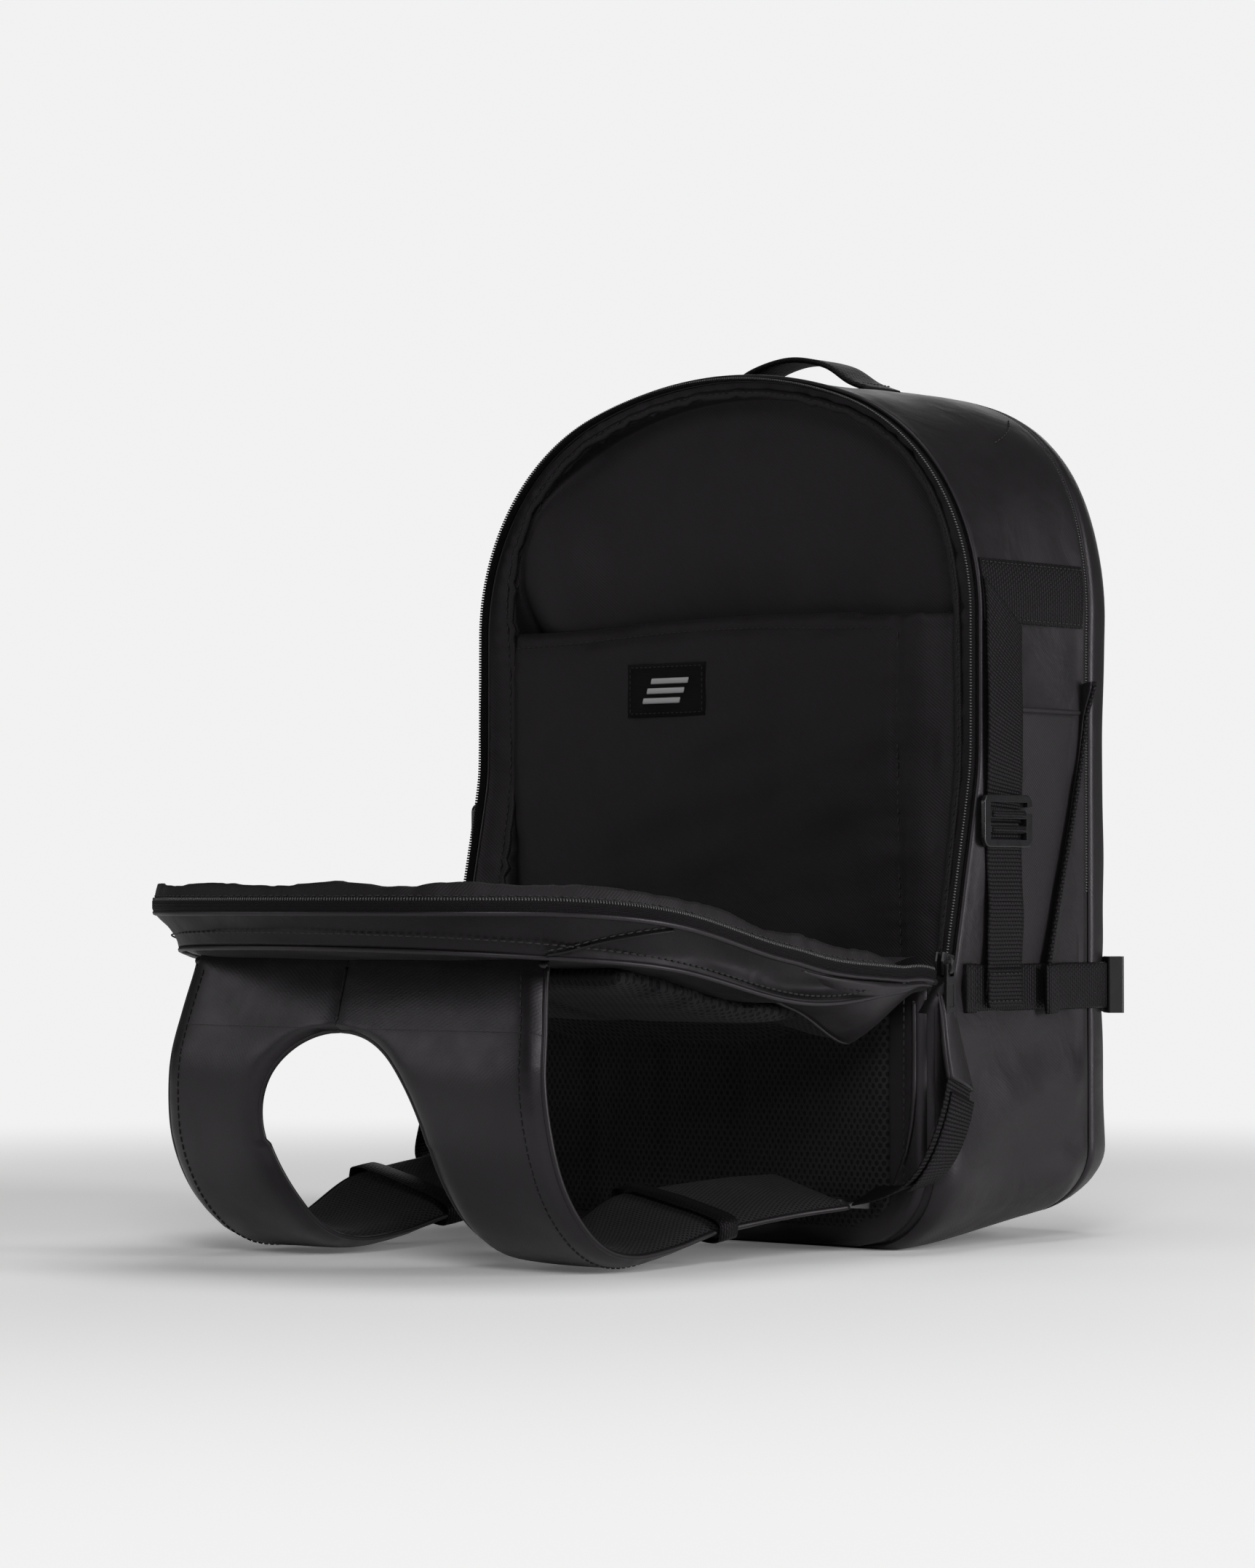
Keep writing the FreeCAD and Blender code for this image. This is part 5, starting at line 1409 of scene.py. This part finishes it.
def side_pocket(side):
    """Flat pocket with a piped slanting edge, and the glossy panel that wraps in over it."""
    foot, top = low("side_pocket_right")[2], high("side_pocket_right")[2]
    near = low("side_pocket_right")[1]

    def slanting(z):
        return -4 + 46 * smooth(foot - 60, top + 30, z)

    gz, share = np.meshgrid(np.linspace(foot - 12, top, 40), np.linspace(0, 1, 24), indexing="ij")
    gy = near - 14 + (slanting(gz) - near + 14) * share
    gap = np.minimum(share, 1 - share) * 60
    puff = 2.6 * plump(gap, 7) * smooth(foot - 12, foot + 30, gz)
    gx = HALF + 0.7 + puff + 0.7 * ripples(np.stack([gy, gz], axis=-1), 55, 121) * smooth(0, 10, gap)
    cloth = xyz(gx, gy, gz)
    side.sheet("side_pocket_cloth", cloth, LINING, SKIN, "side_pocket", thick=1.2, flat=(1, 2))
    side.cord("side_pocket_lip", cloth[-1] + (0.1, 0, 0), 1.5, LINING)

    rows = []
    t = np.linspace(0, 1, 16)
    for z in np.linspace(foot - 10, top + 14, 40):
        curl = smooth(top - 4, top + 14, z)
        lift = 3.4 * np.exp(-t * 5) + 1.6 + 4.5 * curl * np.exp(-t * 4)
        lift *= smooth(1.0, 0.86, t) * 0.75 + 0.25
        ys = np.linspace(slanting(z) - 1, SEAM_Y - 3, 16)
        rows.append(xyz(HALF + lift, ys, z + 3 * curl * (1 - t)))
    side.sheet("wrap_panel", rows, LEATHER, SKIN, thick=1.4)
    side.cord("wrap_piping", np.array(rows)[:, 0] + (0.4, 0, 0), 1.5, WEBBING, "webbing")


def anchor(side):
    """Leather wing at the toe's corner with the webbing that runs to the shoulder strap's adjuster."""
    def from_wall(knots, count):
        return spline([(HALF + out, y, z) for out, y, z in knots], count)

    upper = from_wall([(-1.5, -89, 136), (1.5, -90.5, 124), (3.6, -91, 108), (4.2, -88, 92)], 26)
    rear = from_wall([(0.4, -80, 128), (1.0, -75, 112), (1.4, -70, 98), (2.6, -66, 84)], 26)
    t = np.linspace(0, 1, 10)[None, :, None]
    wing = upper[:, None] * (1 - t) + rear[:, None] * t
    wing[..., 0] += 1.2 * np.sin(np.pi * t[..., 0])
    side.sheet("anchor_wing", wing, LEATHER, SKIN, "strap_anchor", thick=1.8)
    side.cord("anchor_piping", upper, 1.4, LEATHER)

    run = from_wall([(4.2, -78, 92), (6.0, -86, 74), (5.0, -97, 54), (-1, -106, 40), (-16, -109, 33),
                     (-34, -110, 30)], 44)
    turn = np.linspace(0, 1, 44)[:, None]
    across = unit((1 - turn) * np.array([[0, 0.92, -0.40]]) + turn * np.array([[0.15, 0.9, 0.42]]))
    side.web("anchor_web", run, 22, 1.5, "anchor_webbing", "webbing_{}", across)
    side.web("anchor_tail", run[4:30] + (1.5, 2.5, -2.0), 21, 1.3, "", "webbing_{}", across[4:30])


def grab_handle():
    """The arched webbing handle on the crown, tacked down at both ends."""
    y = (low("grab_handle")[1] + high("grab_handle")[1]) / 2 - 2
    half = high("grab_handle")[0]
    top = high("grab_handle")[2] - 3.5
    right = [(half * 0.5, y, top - 5), (half - 8, y, 476), (half + 6, y, 470.5)]
    left = [(-x, y, z) for x, y, z in right[::-1]]
    path = spline(left + [(0, y, top)] + right, 60)
    wide = 34 - 6 * hill(path[:, 0], 0, 34)
    belong(band("grab_web", path, (0, 1, 0), wide, 3.0, WEBBING), "shell", "webbing", "grab_handle")
    for side, sign in SIDES:
        line = xyz(sign * (half + 1), y + np.linspace(-13, 13, 10), 474.6)
        belong(stitches(f"grab_tack_{side}", line, 3.2, 2.2, 0.35), "shell", "webbing")


def hardware():
    """The CAD's hard parts keep their shape and get their finish."""
    metals = ("rim_slider", "rim_pull", "main_slider", "main_pull", "hook_buckle")
    plastics = ("buckle_socket", "buckle_plug", "strap_adjuster")
    for node, obj in frame["nodes"].items():
        for paint, starts in ((METAL, metals), (PLASTIC, plastics)):
            if node.startswith(starts):
                obj.data.materials.clear()
                obj.data.materials.append(paint)


# ---------------------------------------------------------------- set, light and camera, in metres

PALE = 0.885  # the backdrop's brightness
FLOOR_SEEN = 1.26  # the floor's reflectance for the camera, and below it the one for bounced light
FLOOR_UNSEEN = 0.80
FLOOR_LIFT = 0.07
CAMERA_PLACE = (1.518, -1.9445, 0.184)
CAMERA_TURN, CAMERA_PITCH = math.radians(40), math.radians(1.547)
LENS = 100.2
LIGHTS = (  # name, place, aim, size and watts
    ("key", (1.5, -2.0, 1.3), (0, -0.15, 0.2), (0.8, 0.9), 16),
    ("left", (-1.5, -2.0, 0.8), (0, -0.3, 0.2), (1.0, 1.1), 5),
    ("top", (0.2, -0.1, 2.3), (0, 0, 0.2), (1.2, 1.2), 11),
    ("side", (2.3, 0.6, 0.7), (0.1, 0, 0.2), (0.8, 1.1), 18),
    ("low", (2.1, 0.6, 0.24), (0.15, 0.0, 0.12), (0.9, 0.42), 7),
    ("back", (-1.2, 2.2, 1.2), (0, 0, 0.25), (1.4, 1.2), 9),
)


def floor_paint():
    """Pale paper that fades into the backdrop and throws less light than it shows."""
    s = Shader("floor_paper")
    seen = s.add("ShaderNodeLightPath", {}, output=0)
    reflected = s.math("MAXIMUM", seen, s.add("ShaderNodeLightPath", {}, output=3))
    fade = s.ease(s.vector("LENGTH", s.where("Object")), 0.5, 1.35)
    shade = s.scaled(reflected, FLOOR_SEEN - FLOOR_UNSEEN, FLOOR_UNSEEN)
    colour = s.add("ShaderNodeCombineXYZ", {0: shade, 1: shade, 2: shade})
    paper = s.add("ShaderNodeBsdfDiffuse", {"Color": colour})
    lift = s.add("ShaderNodeEmission", {"Strength": s.math("MULTIPLY", seen, FLOOR_LIFT)})
    plain = s.add("ShaderNodeEmission", {"Strength": PALE})
    lit = s.add("ShaderNodeAddShader", {0: paper, 1: lift})
    mix = s.add("ShaderNodeMixShader", {0: s.math("MULTIPLY", fade, seen), 1: lit, 2: plain})
    output = next(node for node in s.tree.nodes if node.type == "OUTPUT_MATERIAL")
    s.put(output.inputs["Surface"], mix)
    return s.material


def lay_floor():
    reach = 6.0
    corners = [(-reach, -reach, 0), (reach, -reach, 0), (reach, reach, 0), (-reach, reach, 0)]
    mesh = bpy.data.meshes.new("floor")
    mesh.from_pydata(corners, [], [(0, 1, 2, 3)])
    mesh.materials.append(floor_paint())
    floor = bpy.data.objects.new("floor", mesh)
    bpy.context.scene.collection.objects.link(floor)


def light_world():
    """A pale backdrop for the camera that barely lights the bag."""
    world = bpy.data.worlds.new("studio")
    bpy.context.scene.world = world
    world.use_nodes = True
    tree = world.node_tree
    back = tree.nodes["Background"]
    path = tree.nodes.new("ShaderNodeLightPath")
    level = tree.nodes.new("ShaderNodeMix")
    level.data_type = "FLOAT"
    tree.links.new(path.outputs[0], level.inputs[0])
    level.inputs[2].default_value = 0.05
    level.inputs[3].default_value = PALE
    tree.links.new(level.outputs[0], back.inputs["Strength"])
    back.inputs["Color"].default_value = (1, 1, 1, 1)


def softbox(name, place, aim, size, watts):
    """A soft rectangular light that the camera doesn't see."""
    light = bpy.data.lights.new(name, "AREA")
    light.shape = "RECTANGLE"
    light.size, light.size_y = size
    light.energy = watts
    lamp = bpy.data.objects.new(name, light)
    lamp.location = place
    lamp.rotation_euler = (Vector(aim) - Vector(place)).to_track_quat("-Z", "Y").to_euler()
    lamp.visible_camera = False
    bpy.context.scene.collection.objects.link(lamp)


def aim_camera():
    camera = bpy.data.cameras.new("camera")
    camera.lens = LENS
    camera.sensor_fit = "VERTICAL"
    camera.sensor_height = 36.0
    camera.clip_end = 50
    view = bpy.data.objects.new("camera", camera)
    view.location = CAMERA_PLACE
    level = math.cos(CAMERA_PITCH)
    sideways, ahead = -math.sin(CAMERA_TURN), math.cos(CAMERA_TURN)
    look = Vector((sideways * level, ahead * level, math.sin(CAMERA_PITCH)))
    view.rotation_euler = look.to_track_quat("-Z", "Y").to_euler()
    bpy.context.scene.collection.objects.link(view)
    bpy.context.scene.camera = view
    bpy.context.scene.view_settings.view_transform = "Standard"


side_skin()
shell_seams()
main_zip()
outer_skin()
toe()
compartment()
compartment_binding()
racket_pocket()
rim_zip()
flap_side()
flap_plate("flap_outside", 1.0, 0.2, -1.2, 75, LEATHER, SKIN, "flap_face")
flap_plate("flap_lining", 6.5, 13.0, -5.0, 76, LINING, "lining", "flap_foam", flip=True)
flap_binding()
back_mesh()
fold()
harness()
for each in SIDES:
    for make in (side_band, hanging_strap, compression, side_pocket, anchor):
        make(Side(*each))
grab_handle()
hardware()
swell_pads()
lay_floor()
light_world()
for light in LIGHTS:
    softbox(*light)
aim_camera()
